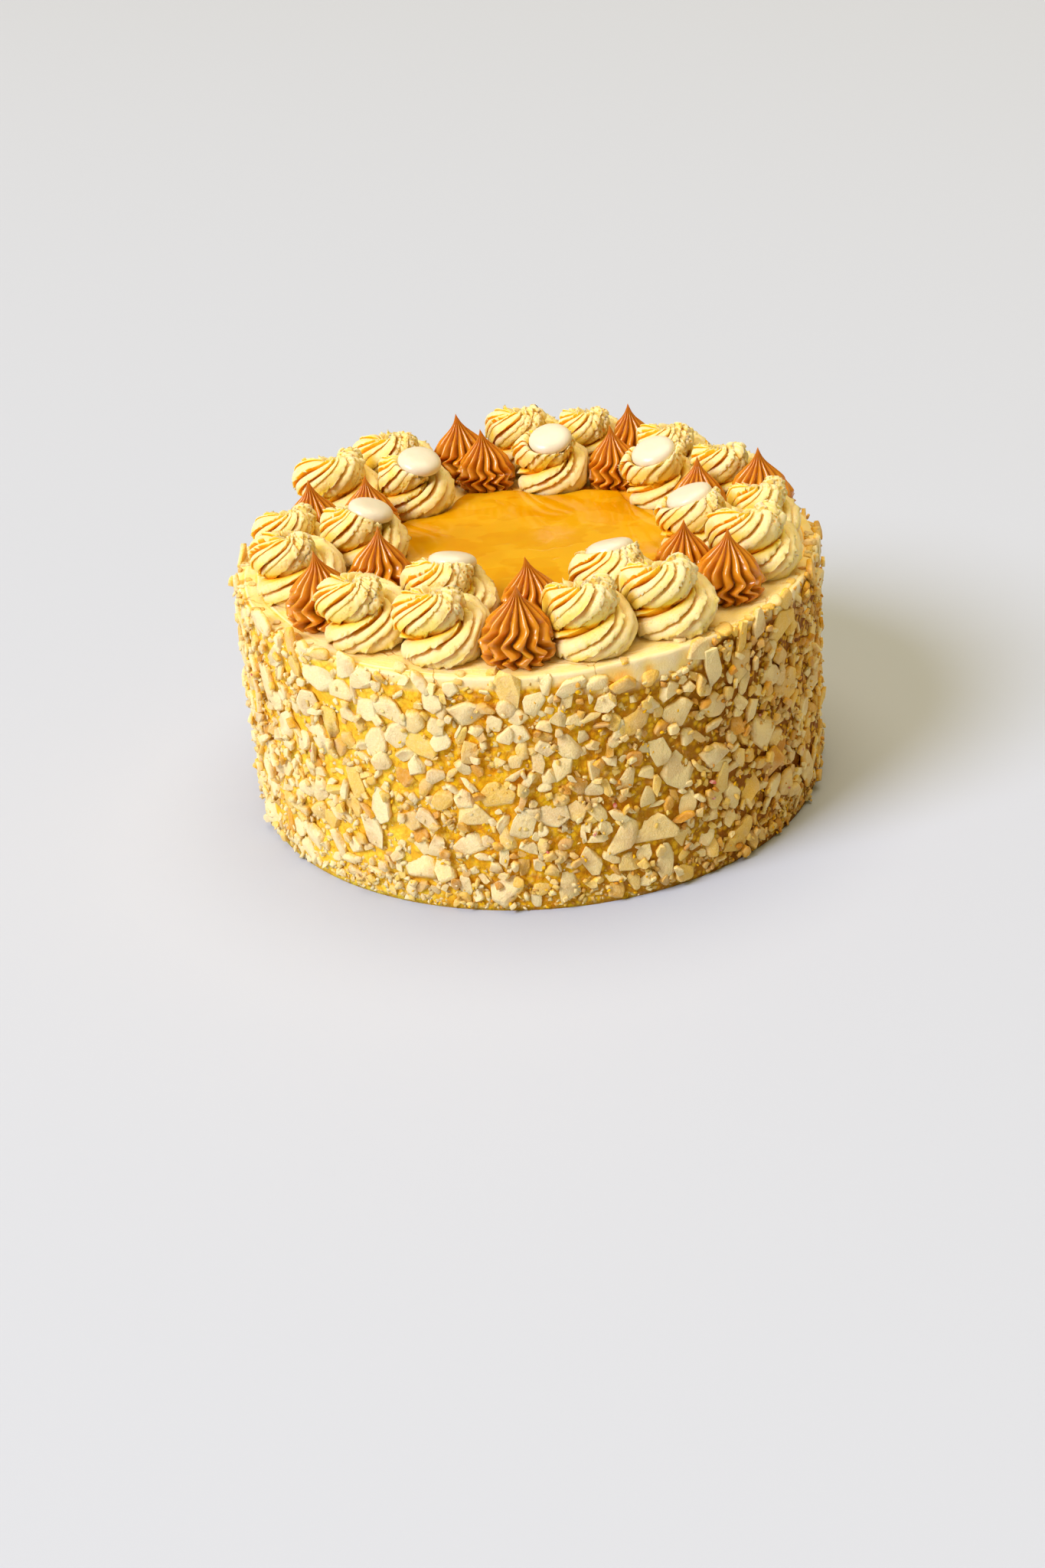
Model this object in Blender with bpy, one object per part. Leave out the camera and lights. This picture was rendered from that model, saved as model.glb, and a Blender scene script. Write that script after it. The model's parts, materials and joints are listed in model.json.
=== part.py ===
"""Round layer cake covered in lucuma cream.

The side is coated with broken nuts. The top carries a ring of seven groups: three piped
cream rosettes to a group, the inner one with a pale round button pressed into it, and a
pair of glossy caramel stars between one group and the next. A thin amber glaze fills the
middle. Units are metres, +Z is up, and the origin is the centre of the flat base.
"""

import math
import random

import bmesh
import bpy
from mathutils import Matrix, Vector

# Cake body
WALL_RADIUS = 0.1003        # cream wall, without the nuts
CAKE_HEIGHT = 0.0842        # base to the flat cream top
EDGE_RADIUS = 0.0045        # rounding where the wall meets the top
EDGE_STEPS = 3
WALL_SIDES = 64

# Nut chips on the wall: the large ones, laid out in rows that climb the wall
CHIP_ROWS = 7
CHIPS_PER_ROW = 18
CHIP_LENGTH = (0.0105, 0.0165)
CHIP_WIDTH = (0.0072, 0.0108)
CHIP_THICKNESS = (0.0027, 0.0036)
CHIP_CORNERS = (5, 6)
CHIP_STANDS = 0.0008        # a chip's middle plane outside the cream wall
CHIP_TILT_DEG = 9.0         # how far a chip leans out of the wall
CHIP_FLOOR = 0.0012         # lowest point of any chip
CHIP_CORNER_SHIFT = 0.28    # how far a corner may slide round the outline, share of a side
CHIP_SWELL = (0.86, 1.12)   # how far a corner may stand in or out, share of the half size
CHIP_TAPER = (0.78, 0.96)   # size of the face that shows, share of the face in the cream
CHIP_LIFT = (0.7, 1.2)      # height of each upper corner, share of the half thickness
CHIP_STRAY = (0.30, 0.28)   # how far a chip may lie off its spot, share of a column and of a row
CHIP_SEED = 11

# Ring of piped groups, each angle counter-clockwise from +X seen from above
PAIR_OUTER_ANGLES_DEG = (-93.5, -38.5, 11.0, 60.0, 105.0, 167.0, 215.0)
PAIR_INNER_ANGLES_DEG = (-89.5, -36.5, 14.5, 58.0, 100.5, 154.0, 207.5)
PAIR_OUTER_REACH = (0.0855, 0.0823, 0.0850, 0.0850, 0.0780, 0.0745, 0.0820)
PAIR_INNER_REACH = (0.0585, 0.0640, 0.0640, 0.0660, 0.0640, 0.0600, 0.0555)
GROUP_OUTER_ANGLES_DEG = (-68.0, -13.5, 33.5, 78.0, 133.0, 186.5, 240.0)
GROUP_HALF_SPREADS_DEG = (9.7, 8.7, 10.8, 8.6, 9.9, 8.6, 10.0)
GROUP_INNER_ANGLES_DEG = (-62.0, -10.5, 35.5, 77.5, 129.0, 180.5, 244.0)
GROUP_OUTER_REACH = (0.0822, 0.0815, 0.0803, 0.0830, 0.0802, 0.0788, 0.0812)
GROUP_INNER_REACH = (0.0605, 0.0612, 0.0630, 0.0610, 0.0597, 0.0555, 0.0592)

# Piped rosettes: a wide lower turn with a smaller one on it, pleated on the slant. All were
# piped from one side of the cake, so the upper turns all sit towards -X.
ROSETTE_RADIUS = (0.0142, 0.0156)
ROSETTE_HEIGHT = (0.0236, 0.0256)
ROSETTE_INNER_HEIGHT = 0.0232
ROSETTE_PLEATS = 9
ROSETTE_PLEAT_DEPTH = 0.155
ROSETTE_LIP_SHARE = 0.30    # share of a pleat between its lip and the groove under it
ROSETTE_SEED = 5
ROSETTE_UPPER_SHIFT = 0.0012        # how far the upper turn sits off the lower one's middle
ROSETTE_SEAM_RISE = 0.0013          # how far the seam between the turns climbs to either side
# height share, radius share, turn of the pleats so far in degrees, share of shift, share of rise
ROSETTE_LEVELS = ((0.00, 0.84, 0.0, 0.0, 0.0), (0.13, 1.00, 22.0, 0.0, 0.0),
                  (0.35, 0.95, 60.0, 0.0, 0.5), (0.52, 0.69, 96.0, 0.6, 1.0),
                  (0.63, 0.74, 116.0, 1.0, 0.8), (0.86, 0.47, 160.0, 1.0, 0.3))

# Piped caramel stars: upright ribs that run together in a fine tip
STAR_OUTER_SIZE = (0.0126, 0.0243)      # radius, height
STAR_INNER_SIZE = (0.0109, 0.0220)
STAR_RIBS = 14
STAR_RIB_DEPTH = 0.20
STAR_SIZE_SPREAD = (0.96, 1.04)
# height share, radius share, turn of the ribs so far in degrees
STAR_LEVELS = ((0.00, 0.88, 0.0), (0.20, 1.00, 3.0), (0.42, 0.80, 7.0), (0.70, 0.37, 14.0))

# Round buttons on the inner rosettes
BUTTON_RADIUS = 0.0080
BUTTON_THICKNESS = 0.0046
BUTTON_SIDES = 12
BUTTON_RISE = 0.0198        # button's middle above the cream top
BUTTON_SHIFT = 0.0040       # from the rosette's middle towards the cake's middle
BUTTON_TILT_DEG = 18.0      # leans towards the cake's middle
# height share, radius share
BUTTON_LEVELS = ((-0.50, 0.78), (-0.05, 1.00), (0.50, 0.72))

# Glaze in the middle of the top
GLAZE_REACH = 0.0560
GLAZE_THICKNESS = 0.0016
GLAZE_SIDES = 56

GAP = 0.0003                # between pieces that touch
WELD = 1e-5                 # vertices closer than this are one
FLAT_WITHIN = 1e-6          # how level the vertices of a flat face are

CREAM = ("lucuma_cream", (0.90, 0.70, 0.36), 0.62)
COAT = ("nut_coat", (0.86, 0.66, 0.38), 0.70)
CARAMEL = ("caramel", (0.50, 0.19, 0.03), 0.22)
BUTTON = ("pale_button", (0.93, 0.87, 0.74), 0.38)
GLAZE = ("amber_glaze", (0.93, 0.50, 0.03), 0.15)


def material(name, colour, roughness):
    """Principled material, made once for each name."""
    made = bpy.data.materials.get(name)
    if made is None:
        made = bpy.data.materials.new(name)
        made.use_nodes = True
        shader = made.node_tree.nodes["Principled BSDF"]
        shader.inputs["Base Color"].default_value = (*colour, 1.0)
        shader.inputs["Roughness"].default_value = roughness
        shader.inputs["Metallic"].default_value = 0.0
    return made


def make_object(name, bm, finish, place=None):
    """Turn a bmesh into an object of its own mesh, finish and place."""
    mesh = bpy.data.meshes.new(name)
    bm.to_mesh(mesh)
    bm.free()
    mesh.materials.append(material(*finish))
    thing = bpy.data.objects.new(name, mesh)
    thing.matrix_world = place if place is not None else Matrix.Identity(4)
    bpy.context.scene.collection.objects.link(thing)
    return thing


def polar(reach, angle_deg):
    """Point in the plane at a distance and an angle from the middle."""
    angle = math.radians(angle_deg)
    return Vector((reach * math.cos(angle), reach * math.sin(angle)))


def raise_ring(bm, ring, points):
    """Extrude a closed ring of vertices once and move the new ring to its points."""
    edges = [bm.edges.get((ring[i - 1], ring[i])) for i in range(len(ring))]
    made = bmesh.ops.extrude_edge_only(bm, edges=edges)["geom"]
    fresh = {tuple(v.co): v for v in made if isinstance(v, bmesh.types.BMVert)}
    raised = [fresh[tuple(v.co)] for v in ring]
    for vertex, point in zip(raised, points):
        vertex.co = point
    return raised


def stack_rings(rings, tip=None):
    """Closed solid through rings of points from the bottom up, ending in a tip or a flat top."""
    bm = bmesh.new()
    bmesh.ops.create_circle(bm, cap_ends=True, segments=len(rings[0]), radius=1.0)
    bm.verts.ensure_lookup_table()
    ring = list(bm.verts)
    for vertex, point in zip(ring, rings[0]):
        vertex.co = point
    for points in rings[1:]:
        ring = raise_ring(bm, ring, points)
    if tip is None:
        bm.faces.new(ring)
    else:
        ring = raise_ring(bm, ring, [tip] * len(ring))
        bmesh.ops.pointmerge(bm, verts=ring, merge_co=tip)
    bmesh.ops.triangulate(bm, faces=bm.faces)
    bmesh.ops.recalc_face_normals(bm, faces=bm.faces)
    return bm


# Cake body with its coat of nuts

def wall_profile():
    """Half outline of the cake, from the middle of the base to the middle of the top."""
    points = [Vector((0, 0, 0)), Vector((WALL_RADIUS, 0, 0))]
    for step in range(EDGE_STEPS + 1):
        angle = math.pi / 2 * step / EDGE_STEPS
        points.append(Vector((WALL_RADIUS - EDGE_RADIUS * (1 - math.cos(angle)), 0,
                              CAKE_HEIGHT - EDGE_RADIUS * (1 - math.sin(angle)))))
    points.append(Vector((0, 0, CAKE_HEIGHT)))
    return points


def turned_body():
    """The bare cream form, turned about the upright axis."""
    bm = bmesh.new()
    outline = [bm.verts.new(point) for point in wall_profile()]
    edges = [bm.edges.new(pair) for pair in zip(outline, outline[1:])]
    bmesh.ops.spin(bm, geom=outline + edges, cent=(0, 0, 0), axis=(0, 0, 1),
                   angle=math.tau, steps=WALL_SIDES, use_merge=True)
    bmesh.ops.remove_doubles(bm, verts=bm.verts, dist=WELD)
    for height in (0.0, CAKE_HEIGHT):
        flat = [f for f in bm.faces if all(abs(v.co.z - height) < FLAT_WITHIN for v in f.verts)]
        bmesh.ops.dissolve_faces(bm, faces=flat, use_verts=True)
    bmesh.ops.recalc_face_normals(bm, faces=bm.faces)
    return bm


def chip_solid(rng):
    """Flat broken chip with uneven corners, lying in its own XY plane."""
    length = rng.uniform(*CHIP_LENGTH) / 2
    width = rng.uniform(*CHIP_WIDTH) / 2
    half = rng.uniform(*CHIP_THICKNESS) / 2
    corners = rng.randint(*CHIP_CORNERS)
    outline = []
    for i in range(corners):
        angle = math.tau * (i + rng.uniform(-CHIP_CORNER_SHIFT, CHIP_CORNER_SHIFT)) / corners
        swell = rng.uniform(*CHIP_SWELL)
        outline.append(Vector((length * swell * math.cos(angle), width * swell * math.sin(angle))))
    lower = [Vector((*p, -half)) for p in outline]
    upper = [Vector((*(p * rng.uniform(*CHIP_TAPER)), half * rng.uniform(*CHIP_LIFT))) for p in outline]
    return stack_rings([lower, upper])


def chip_place(rng, row, column):
    """Where a chip lies: flat on the wall, turned and tilted at random."""
    row_height = CAKE_HEIGHT / CHIP_ROWS
    turn = math.tau / CHIPS_PER_ROW
    aside, above = CHIP_STRAY
    angle = turn * (column + (row % 2) / 2 + rng.uniform(-aside, aside))
    height = row_height * (row + 1 / 2 + rng.uniform(-above, above))
    out = Matrix.Rotation(angle, 4, 'Z') @ Matrix.Translation((WALL_RADIUS + CHIP_STANDS, 0, height))
    upright = Matrix.Rotation(math.pi / 2, 4, 'Y')
    spin = Matrix.Rotation(rng.uniform(0, math.pi), 4, 'Z')
    tilt = Matrix.Rotation(math.radians(rng.uniform(-CHIP_TILT_DEG, CHIP_TILT_DEG)), 4, 'Y')
    return out @ upright @ spin @ tilt


def lift_clear(bm, place):
    """Move a chip up so that it stays above the foot of the cake."""
    lowest = min((place @ v.co).z for v in bm.verts)
    return Matrix.Translation((0, 0, max(0.0, CHIP_FLOOR - lowest))) @ place


def add_cake_body():
    """Cream body and large nut chips, fused into one solid."""
    body = make_object("cake_body", turned_body(), COAT)
    chips = bpy.data.collections.new("nut_chips")
    bpy.context.scene.collection.children.link(chips)
    rng = random.Random(CHIP_SEED)
    for row in range(CHIP_ROWS):
        for column in range(CHIPS_PER_ROW):
            bm = chip_solid(rng)
            place = lift_clear(bm, chip_place(rng, row, column))
            chip = make_object(f"chip_{row}_{column}", bm, COAT, place)
            bpy.context.scene.collection.objects.unlink(chip)
            chips.objects.link(chip)
    fuse = body.modifiers.new("fuse", 'BOOLEAN')
    fuse.operation = 'UNION'
    fuse.operand_type = 'COLLECTION'
    fuse.collection = chips
    fuse.solver = 'EXACT'
    bpy.context.view_layer.update()
    fused = bpy.data.meshes.new_from_object(body.evaluated_get(bpy.context.evaluated_depsgraph_get()))
    body.modifiers.clear()
    body.data = fused
    for chip in list(chips.objects):
        bpy.data.objects.remove(chip, do_unlink=True)
    bpy.data.collections.remove(chips)


# Layout of the piped ring

def piped_piece(kind, number, word, reach, angle_deg, radius, height, turn):
    """One piped piece: what it is, where it stands, how big it is and how it is turned."""
    return {"kind": kind, "name": f"{kind}_{number}_{word}", "inner": word == "inner",
            "middle": polar(reach, angle_deg), "radius": radius, "height": height, "turn": turn}


def piped_ring():
    """Every piped piece of the ring."""
    rng = random.Random(ROSETTE_SEED)
    pieces = []
    for k, (angle, spread) in enumerate(zip(GROUP_OUTER_ANGLES_DEG, GROUP_HALF_SPREADS_DEG)):
        spots = ((GROUP_OUTER_REACH[k], angle - spread, "outer_a"),
                 (GROUP_OUTER_REACH[k], angle + spread, "outer_b"),
                 (GROUP_INNER_REACH[k], GROUP_INNER_ANGLES_DEG[k], "inner"))
        for reach, spot_angle, word in spots:
            height = rng.uniform(*ROSETTE_HEIGHT)
            if word == "inner":
                height = ROSETTE_INNER_HEIGHT
            pieces.append(piped_piece("rosette", k + 1, word, reach, spot_angle,
                                      rng.uniform(*ROSETTE_RADIUS), height, rng.uniform(0, 360)))
    for k, angle in enumerate(PAIR_OUTER_ANGLES_DEG):
        spots = ((PAIR_OUTER_REACH[k], angle, "outer", STAR_OUTER_SIZE),
                 (PAIR_INNER_REACH[k], PAIR_INNER_ANGLES_DEG[k], "inner", STAR_INNER_SIZE))
        for reach, spot_angle, word, (radius, height) in spots:
            size = rng.uniform(*STAR_SIZE_SPREAD)
            pieces.append(piped_piece("star", k + 1, word, reach, spot_angle,
                                      radius * size, height * size, rng.uniform(0, 360)))
    return pieces


def pressed_sides(piece, pieces):
    """Flat sides where a piece is pressed against its neighbours, as (direction, distance)."""
    sides = []
    for other in pieces:
        if other is piece:
            continue
        apart = other["middle"] - piece["middle"]
        distance = apart.length
        if distance < piece["radius"] + other["radius"] + GAP:
            share = (distance ** 2 + piece["radius"] ** 2 - other["radius"] ** 2) / (2 * distance)
            sides.append((apart / distance, share - GAP / 2))
    return sides


def press(point, sides):
    """Pull a point straight in towards the piece's axis until it is inside every flat side."""
    flat = Vector(point[:2])
    shrink = 1.0
    for direction, limit in sides:
        along = flat.dot(direction)
        if along > limit:
            shrink = min(shrink, limit / along)
    return Vector((point[0] * shrink, point[1] * shrink, point[2]))


def rosette_rings(piece, sides):
    """Rings of a rosette: each pleat has a lip and a groove close under it."""
    rings = []
    step = 360.0 / ROSETTE_PLEATS
    for height_share, radius_share, turned, shifted, risen in ROSETTE_LEVELS:
        ring = []
        for i in range(2 * ROSETTE_PLEATS):
            groove = i % 2
            angle = piece["turn"] + turned + step * (i // 2 + ROSETTE_LIP_SHARE * groove)
            reach = piece["radius"] * radius_share * (1 - ROSETTE_PLEAT_DEPTH * groove)
            spot = polar(reach, angle)
            rise = ROSETTE_SEAM_RISE * risen * math.cos(math.radians(angle))
            point = (spot.x - ROSETTE_UPPER_SHIFT * shifted, spot.y, height_share * piece["height"] + rise)
            ring.append(press(point, sides))
        rings.append(ring)
    return rings


def star_rings(piece, sides):
    """Rings of a star: even ribs, shallower towards the tip."""
    rings = []
    for height_share, radius_share, turned in STAR_LEVELS:
        ring = []
        for i in range(2 * STAR_RIBS):
            groove = i % 2
            angle = piece["turn"] + turned + 180.0 * i / STAR_RIBS
            reach = piece["radius"] * radius_share * (1 - STAR_RIB_DEPTH * groove)
            spot = polar(reach, angle)
            ring.append(press((*spot, height_share * piece["height"]), sides))
        rings.append(ring)
    return rings


def on_cream(piece):
    """Place of a piped piece, just clear of the cream top."""
    return Matrix.Translation((*piece["middle"], CAKE_HEIGHT + GAP))


def button_solid(radius, thickness):
    """Round domed button about its own middle."""
    rings = []
    for height_share, radius_share in BUTTON_LEVELS:
        ring = [Vector((*polar(radius * radius_share, 360.0 * i / BUTTON_SIDES), height_share * thickness))
                for i in range(BUTTON_SIDES)]
        rings.append(ring)
    return stack_rings(rings)


def button_place(piece):
    """Place of a button: on the inner rosette, leaning towards the cake's middle."""
    inward = -piece["middle"].normalized()
    spot = piece["middle"] + inward * BUTTON_SHIFT
    lean = Matrix.Rotation(math.radians(BUTTON_TILT_DEG), 4, Vector((-inward.y, inward.x, 0)))
    return Matrix.Translation((*spot, CAKE_HEIGHT + BUTTON_RISE)) @ lean


def under_button(point, piece, place):
    """Lower a point of an inner rosette to the seat that its button lies on."""
    normal = place.to_3x3() @ Vector((0, 0, 1))
    seat = place.translation - normal * (BUTTON_THICKNESS / 2 + GAP) - on_cream(piece).translation
    highest = seat.z - (normal.x * (point.x - seat.x) + normal.y * (point.y - seat.y)) / normal.z
    return Vector((point.x, point.y, min(point.z, highest)))


def add_piped_ring(pieces):
    """Rosettes, stars and buttons."""
    for piece in pieces:
        sides = pressed_sides(piece, pieces)
        if piece["kind"] == "star":
            tip = Vector((0, 0, piece["height"]))
            make_object(piece["name"], stack_rings(star_rings(piece, sides), tip), CARAMEL, on_cream(piece))
            continue
        tip = Vector((-ROSETTE_UPPER_SHIFT, 0, piece["height"]))
        rings = rosette_rings(piece, sides)
        if piece["inner"]:
            place = button_place(piece)
            rings = [[under_button(point, piece, place) for point in ring] for ring in rings]
            tip = under_button(tip, piece, place)
            name = piece["name"].replace("rosette", "button").replace("_inner", "")
            make_object(name, button_solid(BUTTON_RADIUS, BUTTON_THICKNESS), BUTTON, place)
        make_object(piece["name"], stack_rings(rings, tip), CREAM, on_cream(piece))


# Glaze

def glaze_reach(angle_deg, pieces):
    """How far the glaze runs at an angle before it meets a piped foot."""
    reach = GLAZE_REACH
    heading = polar(1.0, angle_deg)
    for piece in pieces:
        along = piece["middle"].dot(heading)
        aside = (piece["middle"] - heading * along).length
        clear = piece["radius"] + 2 * GAP
        if along > 0 and aside < clear:
            reach = min(reach, along - math.sqrt(clear ** 2 - aside ** 2))
    return reach


def add_glaze(pieces):
    """Thin pool of glaze between the inner rosettes and stars."""
    rings = []
    for height in (0.0, GLAZE_THICKNESS):
        ring = []
        for i in range(GLAZE_SIDES):
            angle = 360.0 * i / GLAZE_SIDES
            ring.append(Vector((*polar(glaze_reach(angle, pieces), angle), height)))
        rings.append(ring)
    make_object("glaze", stack_rings(rings), GLAZE, Matrix.Translation((0, 0, CAKE_HEIGHT + GAP)))


def main():
    for old in list(bpy.data.objects):
        bpy.data.objects.remove(old, do_unlink=True)
    add_cake_body()
    pieces = piped_ring()
    add_piped_ring(pieces)
    add_glaze(pieces)


main()
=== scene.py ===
"""Looks of the lucuma cake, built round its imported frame.

A cream cake coated in broken nuts, with a ring of piped rosettes, caramel stars and pale
buttons round a pool of amber glaze. Units are metres, +Z is up, and the origin is the centre
of the flat base.
"""

import json
import math

import bmesh
import bpy
import numpy as np
from mathutils import Matrix, Vector

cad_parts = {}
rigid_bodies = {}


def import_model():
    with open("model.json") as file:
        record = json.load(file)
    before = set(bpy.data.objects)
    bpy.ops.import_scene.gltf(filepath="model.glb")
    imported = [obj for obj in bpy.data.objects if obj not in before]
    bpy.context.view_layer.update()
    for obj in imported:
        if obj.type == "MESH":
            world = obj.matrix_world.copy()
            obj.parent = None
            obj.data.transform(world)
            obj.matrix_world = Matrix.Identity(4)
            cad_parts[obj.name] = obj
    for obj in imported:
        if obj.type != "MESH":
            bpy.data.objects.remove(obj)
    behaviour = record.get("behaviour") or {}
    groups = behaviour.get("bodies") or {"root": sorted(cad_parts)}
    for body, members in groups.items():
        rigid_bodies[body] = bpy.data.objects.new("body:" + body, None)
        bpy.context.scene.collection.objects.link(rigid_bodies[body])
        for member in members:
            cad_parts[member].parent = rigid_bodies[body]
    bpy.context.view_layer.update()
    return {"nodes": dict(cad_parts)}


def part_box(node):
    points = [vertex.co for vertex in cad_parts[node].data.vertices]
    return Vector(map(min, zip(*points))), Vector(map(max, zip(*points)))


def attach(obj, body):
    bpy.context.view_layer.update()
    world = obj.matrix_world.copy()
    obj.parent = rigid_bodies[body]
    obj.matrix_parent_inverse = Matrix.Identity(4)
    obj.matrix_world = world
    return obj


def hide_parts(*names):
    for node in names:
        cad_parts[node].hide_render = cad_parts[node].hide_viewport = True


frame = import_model()

bl_info = {
    "name": "Lucuma cake",
    "version": (1, 0, 0),
    "blender": (4, 5, 0),
    "location": "View3D > Sidebar > Cake",
    "description": "Builds the looks of a piped lucuma cake round its frame",
    "category": "Object",
}

MM = 0.001
GAP = 0.0003                    # between pieces that touch
SEAM = 2e-6                     # points closer than this are one
CREAM_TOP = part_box("glaze")[0].z - GAP


def srgb(red, green, blue):
    """Linear colour of a screen colour given from 0 to 255."""
    return tuple(((c / 255 + 0.055) / 1.055) ** 2.4 if c > 10 else c / 255 / 12.92
                 for c in (red, green, blue))


def size_prop(name, description, default):
    return bpy.props.FloatProperty(name=name, description=description, default=default,
                                   min=0, precision=5, subtype='DISTANCE', unit='LENGTH')


def share_prop(name, description, default):
    return bpy.props.FloatProperty(name=name, description=description, default=default,
                                   min=0, soft_max=2, subtype='FACTOR')


def colour_prop(name, description, default):
    return bpy.props.FloatVectorProperty(name=name, description=description, default=default,
                                         size=3, min=0, max=1, subtype='COLOR')


# --------------------------------------- settings

class CreamSettings(bpy.types.PropertyGroup):
    """The cream of the cake and of the rosettes"""
    colour: colour_prop("Cream", "Colour of the cream", (0.95, 0.690, 0.070))
    # light also carries the painted light on lips and upward faces, deep the painted shade in folds, creases
    # and pores
    light: colour_prop("Aired cream", "Colour where the cream is torn or aired", (0.90, 0.750, 0.455))
    deep: colour_prop("Cream in folds", "Colour deep in the folds", (0.97, 0.39, 0.001))
    crumb: colour_prop("Crumb coat", "Colour of the crumbed cream behind the nuts", (0.89, 0.50, 0.010))
    wall: size_prop("Wall radius", "Radius of the cream wall behind the nuts", 0.0997)
    edge: size_prop("Edge rounding", "Rounding between the wall and the top", 0.0010)


class RosetteSettings(bpy.types.PropertyGroup):
    """Rosettes piped with a star nozzle"""
    turns: bpy.props.FloatProperty(name="Turns", description="Turns of the piped rope", default=1.68, min=1)
    start: bpy.props.FloatProperty(name="Start", description="Where the rope begins",
                                   default=math.radians(120), subtype='ANGLE', unit='ROTATION')
    teeth: bpy.props.IntProperty(name="Teeth", description="Teeth of the nozzle", default=9, min=5, max=14)
    depth: share_prop("Groove depth", "Depth of the grooves, share of the rope's radius", 0.46)
    ragged: share_prop("Ragged lips", "How torn the lips of the grooves are", 1.3)


class StarSettings(bpy.types.PropertyGroup):
    """Caramel stars"""
    ribs: bpy.props.IntProperty(name="Ribs", description="Ribs on a star", default=14, min=6, max=20)
    depth: share_prop("Rib depth", "Depth of the grooves, share of the radius", 0.34)
    colour: colour_prop("Caramel", "Colour of the caramel", (0.48, 0.158, 0.003))
    # light is also the painted light on the rib crests, deep the painted shade between the ribs
    light: colour_prop("Thin caramel", "Colour on the thin edges", (0.66, 0.266, 0.013))
    deep: colour_prop("Thick caramel", "Colour deep between the ribs", (0.33, 0.080, 0.0015))


class ButtonSettings(bpy.types.PropertyGroup):
    """Pale buttons on the inner rosettes"""
    colour: colour_prop("Button", "Colour of the buttons", (0.72, 0.665, 0.555))


class GlazeSettings(bpy.types.PropertyGroup):
    """Glaze in the middle of the top"""
    colour: colour_prop("Glaze", "Colour of the glaze", (0.63, 0.305, 0.0003))
    thick: colour_prop("Thick glaze", "Colour where the glaze is thick", (0.59, 0.255, 0.0002))
    thin: colour_prop("Thin glaze", "Colour where the glaze is thin", (0.68, 0.375, 0.010))


class NutSettings(bpy.types.PropertyGroup):
    """Broken nuts on the wall"""
    ivory: colour_prop("Pale nut", "Colour of the palest pieces", (0.91, 0.745, 0.42))
    beige: colour_prop("Nut", "Colour of most pieces", (0.87, 0.58, 0.135))
    # the toasted colour is also reached by painted shade: pieces on the side away from the key lamp draw
    # darker tints
    toasted: colour_prop("Toasted nut", "Colour of the toasted pieces", (0.63, 0.275, 0.024))
    crumb: colour_prop("Golden crumb", "Colour of the crumbs soaked in cream", (0.88, 0.50, 0.012))
    berry: colour_prop("Berry speck", "Colour of the dried berry specks", (0.62, 0.12, 0.09))


class StageSettings(bpy.types.PropertyGroup):
    """Floor, light and camera"""
    floor: colour_prop("Floor", "Colour of the floor", (0.490, 0.556, 0.725))
    lens: bpy.props.FloatProperty(name="Lens", description="Focal length", default=52.5, min=10,
                                  subtype='DISTANCE_CAMERA')
    elevation: bpy.props.FloatProperty(name="Look down", description="Angle that the camera looks down",
                                       default=math.radians(28.52), subtype='ANGLE', unit='ROTATION')
    roll: bpy.props.FloatProperty(name="Roll", description="Tilt of the camera about its own view",
                                  default=math.radians(-4.514), subtype='ANGLE', unit='ROTATION')
    place: bpy.props.FloatVectorProperty(name="Camera place", description="Where the camera stands",
                                         default=(-0.00733, -0.73305, 0.39111), size=3,
                                         subtype='TRANSLATION', unit='LENGTH')


class CakeSettings(bpy.types.PropertyGroup):
    """All settings of the cake"""
    cream: bpy.props.PointerProperty(type=CreamSettings)
    rosette: bpy.props.PointerProperty(type=RosetteSettings)
    star: bpy.props.PointerProperty(type=StarSettings)
    button: bpy.props.PointerProperty(type=ButtonSettings)
    glaze: bpy.props.PointerProperty(type=GlazeSettings)
    nut: bpy.props.PointerProperty(type=NutSettings)
    stage: bpy.props.PointerProperty(type=StageSettings)


# --------------------------------------- shader maths

class Value:
    """Output of a shader node that takes part in Python arithmetic."""

    def __init__(self, finish, socket):
        self.finish, self.socket = finish, socket

    def maths(self, operation, *values):
        return self.finish.node('ShaderNodeMath', {'operation': operation}, dict(enumerate(values)))

    def __add__(self, other):
        return self.maths('ADD', self, other)

    __radd__ = __add__

    def __sub__(self, other):
        return self.maths('SUBTRACT', self, other)

    def __rsub__(self, other):
        return self.maths('SUBTRACT', other, self)

    def __mul__(self, other):
        return self.maths('MULTIPLY', self, other)

    __rmul__ = __mul__

    def clip(self):
        return self.finish.node('ShaderNodeClamp', None, {'Value': self})

    def steps(self, low, high):
        """0 below low, 1 above high and smooth between."""
        return self.finish.node('ShaderNodeMapRange', {'interpolation_type': 'SMOOTHSTEP'},
                                {'Value': self, 'From Min': low, 'From Max': high})


MIX_FACTOR, MIX_LOW, MIX_HIGH, MIX_RESULT = 0, 6, 7, 2     # sockets of a Mix node set to colours
# painted shade: tint that browns colours on the side away from the key lamp
SIDE_SHADE_TINT = (0.98, 0.84, 0.42, 1.0)


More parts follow.
